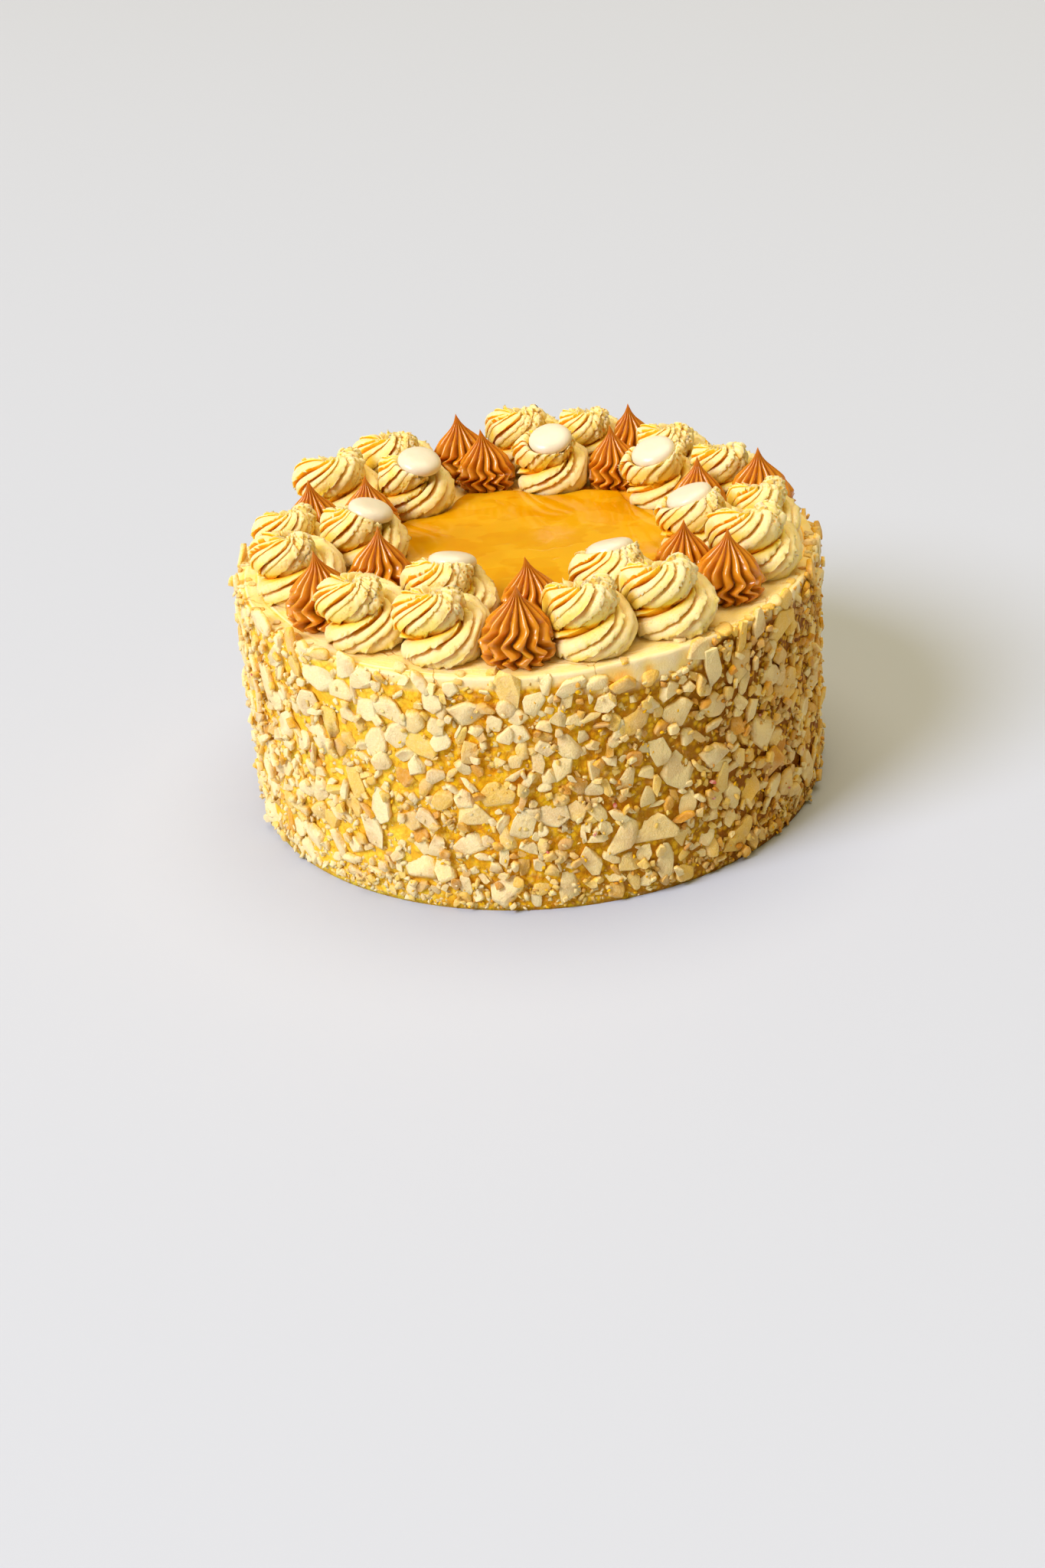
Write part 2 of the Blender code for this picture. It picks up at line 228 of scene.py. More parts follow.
class Finish:
    """Node tree of one material, or of the world."""

    def __init__(self, name, kinds=None, place='Object'):
        self.owner = (bpy.data.materials if kinds is None else kinds).new(name)
        self.owner.use_nodes = True
        self.tree = self.owner.node_tree
        self.tree.nodes.clear()
        self.place = self.node('ShaderNodeTexCoord', output=place)

    def node(self, kind, settings=None, sockets=None, output=0):
        """Any node: its settings are set first, then the values or links of its sockets."""
        made = self.tree.nodes.new(kind)
        for key, value in (settings or {}).items():
            setattr(made, key, value)
        for key, value in (sockets or {}).items():
            if isinstance(value, Value):
                self.tree.links.new(value.socket, made.inputs[key])
            else:
                made.inputs[key].default_value = value
        return Value(self, made.outputs[output]) if made.outputs else None

    def noise(self, size, detail=2.0, rough=0.5, place=None):
        """Noise from 0 to 1 whose features are about this size in metres."""
        return self.node('ShaderNodeTexNoise', {'noise_dimensions': '3D'},
                         {'Vector': place or self.place, 'Scale': 1 / size, 'Detail': detail,
                          'Roughness': rough})

    def cells(self, size, feature='F1', place=None):
        """Distance within cells that are about this size in metres."""
        return self.node('ShaderNodeTexVoronoi', {'feature': feature},
                         {'Vector': place or self.place, 'Scale': 1 / size}, 'Distance')

    def stretched(self, x, y, z):
        """Object coordinates scaled by a factor along each axis."""
        return self.node('ShaderNodeVectorMath', {'operation': 'MULTIPLY'}, {0: self.place, 1: (x, y, z)})

    def attribute(self, name, output='Fac'):
        return self.node('ShaderNodeAttribute', {'attribute_name': name}, output=output)

    def mix(self, factor, low, high):
        """Colour between two colours."""
        low, high = (c if isinstance(c, Value) else (*c, 1.0) for c in (low, high))
        return self.node('ShaderNodeMix', {'data_type': 'RGBA'},
                         {MIX_FACTOR: factor, MIX_LOW: low, MIX_HIGH: high}, MIX_RESULT)

    def paint_side_shade(self, colour, share):
        """Painted shade: the colour made browner by a share where the side-shade attribute is high, on the
        side away from the key lamp.
        """
        return self.node('ShaderNodeMix', {'data_type': 'RGBA', 'blend_type': 'MULTIPLY'},
                         {MIX_FACTOR: self.attribute("toasted") * share, MIX_LOW: colour, MIX_HIGH: SIDE_SHADE_TINT},
                         MIX_RESULT)

    def bump(self, height, distance, strength):
        return self.node('ShaderNodeBump', None,
                         {'Strength': strength, 'Distance': distance, 'Height': height})

    def surface(self, **sockets):
        """The Principled shader and the material's output."""
        if 'Subsurface_Radius' in sockets:
            sockets['Subsurface_Scale'] = 1.0
        shader = self.node('ShaderNodeBsdfPrincipled', None,
                           {key.replace("_", " "): value for key, value in sockets.items()})
        self.node('ShaderNodeOutputMaterial', None, {'Surface': shader})
        return self.owner


# --------------------------------------- mesh helpers

def settings():
    return bpy.context.scene.lucuma_cake


def ramp(values, stops):
    """Smooth steps through pairs of place and height."""
    places, heights = np.array(stops).T
    i = np.clip(np.searchsorted(places, values, side='right') - 1, 0, len(places) - 2)
    t = np.clip((values - places[i]) / (places[i + 1] - places[i]), 0, 1)
    t = t * t * (3 - 2 * t)
    return heights[i] * (1 - t) + heights[i + 1] * t


def curve(values, stops, soft=0.05):
    """Straight lines through pairs of place and height, with their corners rounded over soft."""
    places, heights = np.array(stops).T
    return sum(np.interp(values + soft * k, places, heights) for k in (-1, -0.5, 0, 0.5, 1)) / 5


class Grain:
    """Seeded smooth noise over a lattice, from -1 to 1. It wraps on the second axis."""

    def __init__(self, rng, rows, columns):
        self.values = rng.uniform(-1, 1, (rows, columns))

    def __call__(self, row, column):
        rows, columns = self.values.shape
        i, j = np.floor(row).astype(int), np.floor(column).astype(int)
        a, b = row - i, column - j
        a, b = a * a * (3 - 2 * a), b * b * (3 - 2 * b)
        i0, i1 = np.clip(i, 0, rows - 1), np.clip(i + 1, 0, rows - 1)
        j0, j1 = j % columns, (j + 1) % columns
        v = self.values
        return ((v[i0, j0] * (1 - a) + v[i1, j0] * a) * (1 - b) + (v[i0, j1] * (1 - a) + v[i1, j1] * a) * b)


def read_points(mesh):
    points = np.empty(len(mesh.vertices) * 3)
    mesh.vertices.foreach_get("co", points)
    return points.reshape(-1, 3)


def write_points(mesh, points):
    mesh.vertices.foreach_set("co", np.ascontiguousarray(points, dtype=np.float32).ravel())
    mesh.update()


def store(mesh, name, values):
    """Keep a number at each point, under the name by which a finish reads it."""
    mesh.attributes.new(name, 'FLOAT', 'POINT').data.foreach_set("value", values.astype(np.float32))


def read_along(mesh):
    along = np.empty(len(mesh.vertices), dtype=np.float32)
    mesh.attributes["along"].data.foreach_get("value", along)
    return along


def polar(radius, angle, height):
    """Points from their distance and bearing about the axis and their height."""
    return np.stack([radius * np.cos(angle), radius * np.sin(angle), height], -1)


def as_mesh(bm, name):
    mesh = bpy.data.meshes.new(name)
    bm.to_mesh(mesh)
    bm.free()
    return mesh


def wrapped_grid(name, along, around, shape):
    """Mesh from a grid whose (u, v), each from 0 to 1, shape() turns into points.

    v wraps round, so the seam is merged there, and the open ends of u are closed. The point
    attribute "along" keeps u."""
    bm = bmesh.new()
    bmesh.ops.create_grid(bm, x_segments=along, y_segments=around, size=0.5)
    mesh = as_mesh(bm, name)
    flat = read_points(mesh) + 0.5
    write_points(mesh, shape(flat[:, 0], flat[:, 1]))
    store(mesh, "along", flat[:, 0])
    close_mesh(mesh)
    return mesh


def close_mesh(mesh):
    """Merge the seam and the poles, close what stays open and turn the faces outwards."""
    bm = bmesh.new()
    bm.from_mesh(mesh)
    bmesh.ops.remove_doubles(bm, verts=bm.verts, dist=SEAM)
    edges = [e for e in bm.edges if e.is_boundary]
    if edges:
        bmesh.ops.holes_fill(bm, edges=edges, sides=0)
    bmesh.ops.recalc_face_normals(bm, faces=bm.faces)
    bm.to_mesh(mesh)
    bm.free()


def applied_mesh(thing):
    """The object's mesh with its modifiers applied. The object itself goes."""
    mesh = bpy.data.meshes.new_from_object(thing.evaluated_get(bpy.context.evaluated_depsgraph_get()))
    bpy.data.objects.remove(thing)
    return mesh


def linked(name, data):
    """A new object in the scene, at the origin."""
    thing = bpy.data.objects.new(name, data)
    bpy.context.scene.collection.objects.link(thing)
    return thing


def add_fold_shade(mesh, rounds, reach, creases=0, tilt=0.0):
    """Store how deep each point lies in a fold (towards 1) or stands on a lip (towards 0): a mask
    for painted shade in folds and painted light on lips.

    With a tilt, faces that look up count as lips and get painted light, and faces that look down
    count as folds and get painted shade."""
    points = read_points(mesh)
    count = len(points)
    edges = np.empty(len(mesh.edges) * 2, dtype=np.int64)
    mesh.edges.foreach_get("vertices", edges)
    a, b = edges.reshape(-1, 2).T
    ends, others = np.concatenate((a, b)), np.concatenate((b, a))
    degree = np.maximum(np.bincount(ends, minlength=count), 1)[:, None]
    eased = points.copy()
    for _ in range(rounds):
        eased = np.stack([np.bincount(ends, eased[others, k], count) for k in range(3)], -1) / degree
    normals = np.empty(count * 3, dtype=np.float32)
    mesh.vertices.foreach_get("normal", normals)
    normals = normals.reshape(-1, 3)
    depth = ((eased - points) * normals).sum(1)
    # painted light and shade: fold depth, tilted so that faces looking down read as shaded
    level = np.clip(0.5 + depth / (2 * reach) - tilt * (normals[:, 2] - 0.3), 0, 1)
    store(mesh, "hollow", np.maximum(level, creases))


def add_piece(name, mesh, material, slot, *nodes):
    """Finished piece: it rides on the cake and stands for its nodes."""
    mesh.materials.clear()
    mesh.materials.append(material)
    thing = linked(name, mesh)
    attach(thing, "root")
    if nodes:
        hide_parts(*nodes)


# --------------------------------------- layout from the frame

ROSETTE_UPPER_SHIFT = 0.0012    # the tip of a rosette's solid stands this far to -X of its middle
INNER_ROSETTE_HEIGHT = 0.0232   # before the button pressed it down
BUTTON_SHIFT = 0.0040           # the button stands this far towards the cake's middle


def node_points(name):
    return read_points(frame["nodes"][name].data)


def node_tip(name):
    points = node_points(name)
    return points[points[:, 2].argmax()]


class Piped:
    """A piped piece as the frame gives it: its middle on the cream, radius and height."""

    def __init__(self, name):
        self.name = name
        self.kind = name.split("_")[0]
        self.inner = name.endswith("inner")
        low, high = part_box(name)
        self.radius = max(high.x - low.x, high.y - low.y) / 2
        self.base = low.z
        self.height = high.z - low.z
        self.middle = node_tip(name)[:2].copy()
        if self.kind == "rosette":
            if self.inner:
                low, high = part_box(self.button())
                middle = np.array(((low + high) / 2)[:2])
                self.middle = middle * (1 + BUTTON_SHIFT / np.linalg.norm(middle))
                self.height = INNER_ROSETTE_HEIGHT
            else:
                self.middle[0] += ROSETTE_UPPER_SHIFT

    def button(self):
        return self.name.replace("rosette", "button").replace("_inner", "")

    def pressed_by(self, others):
        """Sides where neighbours press: direction and distance of each."""
        sides = []
        for other in others:
            apart = other.middle - self.middle
            distance = np.linalg.norm(apart)
            if 0 < distance < self.radius + other.radius:
                share = (distance ** 2 + self.radius ** 2 - other.radius ** 2) / (2 * distance)
                sides.append((apart / distance, share - GAP / 2))
        return sides


def piped_pieces():
    return [Piped(name) for name in sorted(frame["nodes"]) if name.startswith(("rosette", "star"))]


def press(points, sides, give=0.0012):
    """Ease points about the piece's own middle back from each side that a neighbour presses."""
    shrink = np.ones(len(points))
    for direction, limit in sides:
        along = points[:, :2] @ direction
        over = np.maximum(along - (limit - give), 0)
        eased = limit - give + give * np.tanh(over / give)
        shrink = np.where(over > 0, np.minimum(shrink, eased / np.maximum(along, 1e-9)), shrink)
    pressed = points.copy()
    pressed[:, :2] *= shrink[:, None]
    return pressed


# --------------------------------------- finishes

def cream_finish():
    """Whipped cream with fine pores. Torn and aired parts are paler, lips get painted light, and folds and
    pores a warmer painted shade.
    """
    cream = settings().cream
    f = Finish("piped_cream")
    hollow = f.attribute("hollow")
    # paler in random aired patches, plus painted light on lips and upward faces
    aired_and_painted_light = (f.noise(0.006, 3, 0.6) * 0.9 - 0.38 + (0.5 - hollow) * 1.5).clip()
    # painted shade: the fold colour in folds, creases and downward faces
    colour = f.mix(hollow.steps(0.46, 0.84) * 0.95, f.mix(aired_and_painted_light, cream.colour, cream.light), cream.deep)
    torn = (f.attribute("along").steps(0.84, 0.91) + f.noise(0.008, 2).steps(0.62, 0.72) * 0.4).clip()
    colour = f.mix(torn * 0.38, colour, cream.light)
    pores = f.cells(0.0009).steps(0.0, 0.34)
    bubbles = f.noise(0.0035, 2).steps(0.45, 0.62)
    holes = f.cells(0.0017).steps(0.10, 0.42)
    # painted shade in the pores and in the holes of the torn end
    shaded_pits = f.mix((1 - pores) * bubbles * 0.35, colour, cream.deep)
    shaded_pits = f.mix((1 - holes) * torn * 0.7, shaded_pits, cream.deep)
    height = f.noise(0.0005, 3, 0.7) * 0.35 + pores * (bubbles * 0.7 + 0.3) \
        + f.noise(0.0016, 2) * 0.8 + holes * torn * 2.4
    return f.surface(Base_Color=shaded_pits, Roughness=0.52, Normal=f.bump(height, 0.00022, 0.8),
                     Subsurface_Weight=0.5, Subsurface_Radius=(0.0036, 0.0028, 0.0007),
                     Specular_IOR_Level=0.3, Specular_Tint=(1.0, 0.80, 0.45, 1.0))


def body_finish():
    """Smooth cream with spatula strokes on top, crumbed golden cream behind the nuts on the wall."""
    cream = settings().cream
    f = Finish("cake_cream")
    hollow, wall = f.attribute("hollow"), f.attribute("crumbed")
    stroke = f.attribute("stroke", 'Vector')
    crumbs, lumps = f.noise(0.0022, 4, 0.65), f.cells(0.0024)
    soaked = (f.attribute("soaked") + f.noise(0.020, 2) * 0.8 - 0.4).clip()
    golden = f.mix(crumbs.steps(0.50, 0.72) * 0.38, cream.crumb, cream.light)
    golden = f.mix(f.noise(0.0050, 3, 0.6).steps(0.50, 0.64) * 0.7, golden, srgb(228, 146, 10))
    # painted shade in the crevices between the lumps, which the bump sinks
    golden = f.mix(lumps.steps(0.34, 0.66) * 0.5, golden, srgb(196, 112, 4))
    golden = f.mix(soaked, f.mix(lumps.steps(0.3, 0.7) * 0.45, cream.colour, cream.deep), golden)
    # painted shade: the crumb coat browns on the side away from the key lamp, most between the lumps
    toasted = f.attribute("toasted") * (lumps.steps(0.15, 0.55) * 0.75 + 0.15)
    golden = f.mix(toasted, golden, srgb(128, 66, 4))
    streaks = f.noise(0.0012, 3, 0.55, stroke)
    # paler in random aired patches and streaks, plus painted light on raised edges
    aired_and_painted_light = (streaks * 0.4 + f.noise(0.012, 2) * 1.2 - 0.15 + (0.5 - hollow) * 1.2).clip()
    smooth = f.mix(aired_and_painted_light, cream.colour, cream.light)
    # painted shade in hollows and in the creases under the ledges
    smooth = f.mix(hollow.steps(0.56, 0.95) * 0.8, smooth, cream.deep)
    # a few fine cracks
    bent = f.node('ShaderNodeVectorMath', {'operation': 'MULTIPLY_ADD'},
                  {0: f.node('ShaderNodeTexNoise', None, {'Vector': f.place, 'Scale': 220.0}, output='Color'),
                   1: (0.004, 0.004, 0.004), 2: f.place})
    cracks = 1 - f.cells(0.021, 'DISTANCE_TO_EDGE', bent).steps(0.002, 0.011)
    cracks = cracks * f.noise(0.030, 1).steps(0.52, 0.60)
    smooth = f.mix(cracks * 0.45, smooth, cream.deep)
    colour = f.mix(wall, smooth, golden)
    height = (streaks * 0.12 + f.noise(0.0007, 2) * 0.3 - cracks * 1.6) * (1 - wall) \
        + (crumbs * 2.2 - lumps * 1.4) * wall
    return f.surface(Base_Color=colour, Roughness=0.6, Normal=f.bump(height, 0.0006, 0.8),
                     Subsurface_Weight=0.25, Subsurface_Radius=(0.0035, 0.0024, 0.0012),
                     Specular_IOR_Level=0.2, Specular_Tint=(1.0, 0.75, 0.30, 1.0))


def caramel_finish():
    """Glossy caramel, with orange painted light on the rib crests and dark painted shade between the ribs."""
    star = settings().star
    f = Finish("caramel")
    hollow = f.attribute("hollow")
    # painted light on the rib crests
    ribs = f.mix(hollow.steps(0.12, 0.52), star.light, star.colour)
    # painted shade deep between the ribs
    colour = f.mix(hollow.steps(0.50, 0.95), ribs, star.deep)
    colour = f.mix((f.noise(0.004, 2) - 0.45).clip() * 0.8, colour, star.light)
    height = f.noise(0.0035, 2) + f.noise(0.0012, 2) * 0.25
    return f.surface(Base_Color=colour, Roughness=0.22, Normal=f.bump(height, 0.0005, 0.6),
                     Subsurface_Weight=0.45, Subsurface_Radius=(0.0040, 0.0010, 0.0001),
                     Coat_Weight=0.40, Coat_Roughness=0.16, IOR=1.46)


def button_finish():
    """Satin pale sweet with a faintly uneven face."""
    f = Finish("button_ivory")
    cloud = f.noise(0.004, 2)
    colour = f.mix(cloud, settings().button.colour, srgb(226, 219, 202))
    height = f.noise(0.003, 2) * 0.8 + f.noise(0.0006, 2) * 0.12
    return f.surface(Base_Color=colour, Roughness=0.34, Normal=f.bump(height, 0.0004, 0.5),
                     Subsurface_Weight=0.3, Subsurface_Radius=(0.003, 0.002, 0.0012),
                     Coat_Weight=0.15)


def glaze_finish():
    """Clear amber glaze, cloudy in patches."""
    glaze = settings().glaze
    f = Finish("amber_glaze")
    broad = f.noise(0.024, 3, 0.6)
    patch = f.noise(0.016, 2.5, 0.5, f.stretched(0.75, 1.2, 1.0))
    drift = f.noise(0.034, 1.5, 0.5, f.stretched(1.2, 0.8, 1.0))
    puddle = patch.steps(0.515, 0.545) * 0.40 + drift.steps(0.48, 0.51) * 0.35
    colour = f.mix(broad.steps(0.38, 0.64), glaze.thick, glaze.colour)
    colour = f.mix(puddle, colour, glaze.thin)
    height = f.noise(0.018, 2) + f.noise(0.006, 2) * 0.12 + puddle * 0.5
    return f.surface(Base_Color=colour, Roughness=0.07 + patch * 0.06,
                     Normal=f.bump(height, 0.0006, 0.35), Subsurface_Weight=0.2,
                     Subsurface_Radius=(0.004, 0.0015, 0.0003),
                     Specular_IOR_Level=0.45, IOR=1.40)


def nut_finish():
    """Broken nuts. Each piece has a tint of its own, from ivory to toasted, and painted shade browns those on
    the side away from the key lamp.
    """
    nut = settings().nut
    f = Finish("nut_pieces")
    tint = f.attribute("tint")
    pale = f.mix(tint.steps(0.0, 0.45), nut.ivory, nut.beige)
    own = f.mix(tint.steps(0.5, 1.0), pale, nut.toasted)
    own = f.mix(f.noise(0.011, 2).steps(0.50, 0.60) * 0.55, own, srgb(218, 186, 136))
    cloud = f.noise(0.0035, 3, 0.6)
    own = f.mix(cloud.steps(0.45, 0.75) * 0.30, own, nut.ivory)
    own = f.mix(f.noise(0.0008, 3, 0.7).steps(0.52, 0.8) * 0.22, own, nut.toasted)
    grime = f.attribute("foot") + (f.noise(0.0016, 3, 0.6) - 0.5) * 1.2
    own = f.mix(grime.steps(0.25, 0.95) * 0.75, own, nut.crumb)
    dust = f.noise(0.0006, 2, 0.7).steps(0.50, 0.72)
    # pale dust, then painted shade on the side away from the key lamp
    own = f.paint_side_shade(f.mix(dust * (0.42 - tint * 0.35), own, srgb(250, 240, 214)), 0.42)
    height = f.noise(0.0016, 3, 0.65) * 1.2 + f.noise(0.0005, 2) * 0.5
    return f.surface(Base_Color=own, Roughness=0.58, Normal=f.bump(height, 0.00045, 0.9),
                     Subsurface_Weight=0.3, Subsurface_Radius=(0.0022, 0.0015, 0.0008),
                     Specular_IOR_Level=0.25, Specular_Tint=(1.0, 0.85, 0.55, 1.0))


def crumb_finish():
    """Fine crumbs: pale, golden from the cream, and some toasted; painted shade browns those on the side away
    from the key lamp.
    """
    nut = settings().nut
    f = Finish("nut_crumbs")
    tint = f.attribute("tint")
    colour = f.mix(tint.steps(0.25, 0.45), nut.ivory, nut.crumb)
    # painted shade on the side away from the key lamp
    colour = f.paint_side_shade(f.mix(tint.steps(0.82, 0.92), colour, nut.toasted), 0.60)
    return f.surface(Base_Color=colour, Roughness=0.6, Normal=f.bump(f.noise(0.0007, 2), 0.0003, 0.8),
                     Subsurface_Weight=0.12, Subsurface_Radius=(0.0022, 0.0013, 0.0006),
                     Specular_IOR_Level=0.2, Specular_Tint=(1.0, 0.75, 0.30, 1.0))


def berry_finish():
    """Dried berry, deep red under a pale dust."""
    nut = settings().nut
    f = Finish("berry_specks")
    colour = f.mix(f.noise(0.0016, 3).steps(0.4, 0.65), nut.berry, srgb(226, 170, 150))
    return f.surface(Base_Color=colour, Roughness=0.6, Normal=f.bump(f.noise(0.0008, 2), 0.0003, 0.8))


# --------------------------------------- cream body

BODY_SEED, BODY_AROUND = 31, 720
# rings from the middle of the base to the middle of the top
BASE_RINGS, WALL_RINGS, EDGE_RINGS, RIM_RINGS, MARGIN_RINGS, MIDDLE_RINGS = 6, 46, 6, 40, 12, 4
RIM_BAND, MARGIN_INNER = 0.0125, 0.060          # width of the folded band, and where the margin ends
LEDGES = 4                                      # folds that the spatula left round the rim
STROKE_REACH = 0.008


def body_outline(cream):
    """Half outline of the cake as radius and height, base first."""
    wall, edge, top = cream.wall, cream.edge, CREAM_TOP
    turn = np.linspace(0, math.pi / 2, EDGE_RINGS, endpoint=False)
    band = wall - edge - RIM_BAND
    parts = [(np.linspace(0, wall, BASE_RINGS, endpoint=False), np.zeros(BASE_RINGS)),
             (np.full(WALL_RINGS, wall), np.linspace(0, top - edge, WALL_RINGS, endpoint=False)),
             (wall - edge * (1 - np.cos(turn)), top - edge * (1 - np.sin(turn))),
             (np.linspace(wall - edge, band, RIM_RINGS, endpoint=False), np.full(RIM_RINGS, top)),
             (np.linspace(band, MARGIN_INNER, MARGIN_RINGS, endpoint=False), np.full(MARGIN_RINGS, top)),
             (np.linspace(MARGIN_INNER, 0, MIDDLE_RINGS), np.full(MIDDLE_RINGS, top))]
    return np.concatenate([p[0] for p in parts]), np.concatenate([p[1] for p in parts])


def bare_strip(around):
    """Width of the cream left bare under the rim, at a share of a full turn."""
    return ramp(around, ((0, .0010), (.20, .0030), (.35, .0005), (.46, .0015), (.52, -.0008), (.66, -.0006),
                         (.69, .0012), (.76, .0010), (.785, .0050), (.83, .0055), (.855, -.0004), (1, .0010)))


def soaking(around):
    """How golden the crumbed cream is, at a share of a full turn: it stays pale on one side."""
    return ramp(around, ((0, .8), (.20, 1), (.38, .5), (.54, .15), (.66, .25), (.72, 1), (.90, 1), (1, .8)))


def shaded_side_share(around):
    """How much painted shade browns the crumbs and nuts, at a share of a full turn: none where the key lamp
    faces, most on the front right.
    """
    return ramp(around, ((0, .5), (.40, .4), (.50, 0), (.72, 0), (.80, .5), (.87, 1), (.96, 1), (1, .5)))


def body_mesh(cream):
    """The cream cake: ledges round the rim of the top, lumps on the wall."""
    rng = np.random.default_rng(BODY_SEED)
    radii, heights = body_outline(cream)
    rings = len(radii)
    broad, fine = Grain(rng, 9, 24), Grain(rng, 120, 480)
    shoulder, lumps, grit = Grain(rng, 5, 46), Grain(rng, 46, 300), Grain(rng, 120, 600)
    lip, notch = Grain(rng, 2, 34), Grain(rng, 2, 150)
    ledges = [(Grain(rng, 2, 7), Grain(rng, 2, 26), Grain(rng, 2, 9)) for _ in range(LEDGES)]

    def folds(v, depth):
        """How far the ledges step down at a depth from the wall, and how strong the painted shadow in the
        crease under each is.
        """
        zero, drop, crease = v * 0, 0.0, 0.0
        for number, (wander, waves, size) in enumerate(ledges):
            edge = 0.9 + 1.9 * number + 1.6 * wander(zero, v * 7) + 0.30 * waves(zero, v * 26)
            tall = np.clip(0.12 + 0.95 * size(zero, v * 9), 0, 1.0) * (0.9 if number else 1.2)
            inside = 1 / (1 + np.exp(np.clip(-(depth - edge) / 0.09, -50, 50)))
            drop = drop + tall * (1 - inside) - 0.40 * tall * np.exp(-((depth - edge - 0.35) / 0.45) ** 2)
            # painted shadow along the foot of each ledge
            line = np.exp(-((depth - edge + 0.12) / 0.20) ** 2)
            crease = np.maximum(crease, np.minimum(tall * 1.6, 1) * line)
        return drop, crease

    def shape(u, v):
        ring = np.clip(np.rint(u * (rings - 1)).astype(int), 0, rings - 1)
        radius, height = radii[ring], heights[ring]
        angle, zero = math.tau * v, u * 0
        on_top = ramp(height, ((0, 0), (CREAM_TOP - 0.0012, 0), (CREAM_TOP - 0.0002, 1), (1, 1)))
        margin = ramp(radius, ((0, 0), (0.058, 0), (0.070, 1), (0.2, 1)))
        depth = (cream.wall - radius) / MM
        # the wall is lumpy under the nuts, and its rim is drawn in and out by the spatula
        low = ramp(height, ((0, 0.25), (0.006, 1), (1, 1)))
        bulge = 0.55 * shoulder(height / 0.022, v * 46) + 0.45 * lumps(height / 0.002, v * 300) \
            + 0.25 * grit(height / 0.0009, v * 600)
        near_rim = ramp(height, ((0, 0), (CREAM_TOP - 0.012, 0), (CREAM_TOP - 0.002, 1), (1, 1)))
        waver = (0.7 * lip(zero, v * 34) + 0.22 * notch(zero, v * 150)) * near_rim * np.exp(-depth / 4)
        radius = radius + MM * (bulge * (1 - near_rim) * low * (height > 0) + waver)
        # flat strokes that end in thin ledges running round the rim
        drop = folds(v, depth)[0]
        waves = 0.30 * broad(depth * 0.12, v * 24) + 0.06 * fine(depth * 2.2, v * 480)
        height = height + on_top * margin * MM * (waves + 0.35 - 0.55 * drop)
        return polar(radius, angle, np.maximum(height, 0))

    mesh = wrapped_grid("cream_cake", rings - 1, BODY_AROUND, shape)
    points = read_points(mesh)
    reach, bearing = np.hypot(points[:, 0], points[:, 1]), np.arctan2(points[:, 1], points[:, 0])
    rim = Grain(rng, 2, 60)
    around = bearing / math.tau % 1
    border = CREAM_TOP - bare_strip(around) - (2.0 + 1.8 * rim(reach * 0, around * 60)) * MM
    wall = np.clip((border - points[:, 2]) / (1.2 * MM), 0, 1)
    # the last share is painted shade, strongest on the side away from the key lamp
    for word, share in (("crumbed", wall), ("soaked", soaking(around)), ("toasted", shaded_side_share(around))):
        store(mesh, word, share)
    ring = np.clip(np.rint(read_along(mesh) * (rings - 1)).astype(int), 0, rings - 1)
    creases = folds(around, (cream.wall - radii[ring]) / MM)[1] * (heights[ring] > CREAM_TOP - 0.0003)
    # place along the spatula's strokes: fast across them and slow along them
    stroke = np.stack([reach, STROKE_REACH * np.cos(bearing), STROKE_REACH * np.sin(bearing)], -1)
    layer = mesh.attributes.new("stroke", 'FLOAT_VECTOR', 'POINT')
    layer.data.foreach_set("vector", stroke.astype(np.float32).ravel())
    # painted shade in the hollows and in the ledge creases
    add_fold_shade(mesh, rounds=5, reach=0.00022, creases=0.8 * creases)
    return mesh


class CAKE_OT_cream_body(bpy.types.Operator):
    """Make the cream body of the cake"""
    bl_idname = "cake.cream_body"
    bl_label = "Cream body"

    def execute(self, context):
        mesh = body_mesh(settings().cream)
        mesh.shade_smooth()
        add_piece("cream_cake", mesh, body_finish(), "lucuma_cream", "cake_body")
        return {'FINISHED'}


# --------------------------------------- rosettes

ROSETTE_SEED = 200
# along the rope from its start to its torn end
ROPE = ((0, .0040), (.08, .0064), (.50, .0068), (.72, .0067), (.88, .0061), (.96, .0049), (1, .0026))
REACH = ((0, .0030), (.10, .0080), (.42, .0082), (.60, .0070), (.74, .0065), (.90, .0064), (1, .0058))
CLIMB = ((0, .0036), (.12, .0042), (.28, .0050), (.42, .0078), (.56, .0114), (.70, .0146), (.86, .0154),
         (.94, .0172), (1, .0206))
UPPER = ((0, 0), (.42, 0), (.66, 1), (1, 1))
UPPER_SHIFT = (-0.0030, 0.0006)     # the upper turn sits this far off the lower one
TORN = ((0, 0), (.88, 0), (.95, 1), (1, 1))
PETAL_AT, PETAL_FACES = 0.70, math.radians(55)  # where the broad tooth lies on top, and its bearing
# across one tooth of the nozzle: the thin lip is at a fifth, and its groove lies close beside it
TOOTH_PLACE = (0, .05, .09, .13, .17, .205, .25, .38, .54, .72, .88)
TOOTH_SHIFT = (.15, .09, .04, .00, -.03, -.045, .00, .15, .35, .60, .86)
TOOTH_HEIGHT = (0, .26, .54, .80, .98, 1.07, 1.06, 1.03, .97, .83, .46)
ROPE_ALONG = 240
FULLNESS = 1.07                                 # torn lips stand out from the solid's sides
MODEL_RADIUS, MODEL_HEIGHT = 0.0150, 0.0250     # size that the numbers above are for


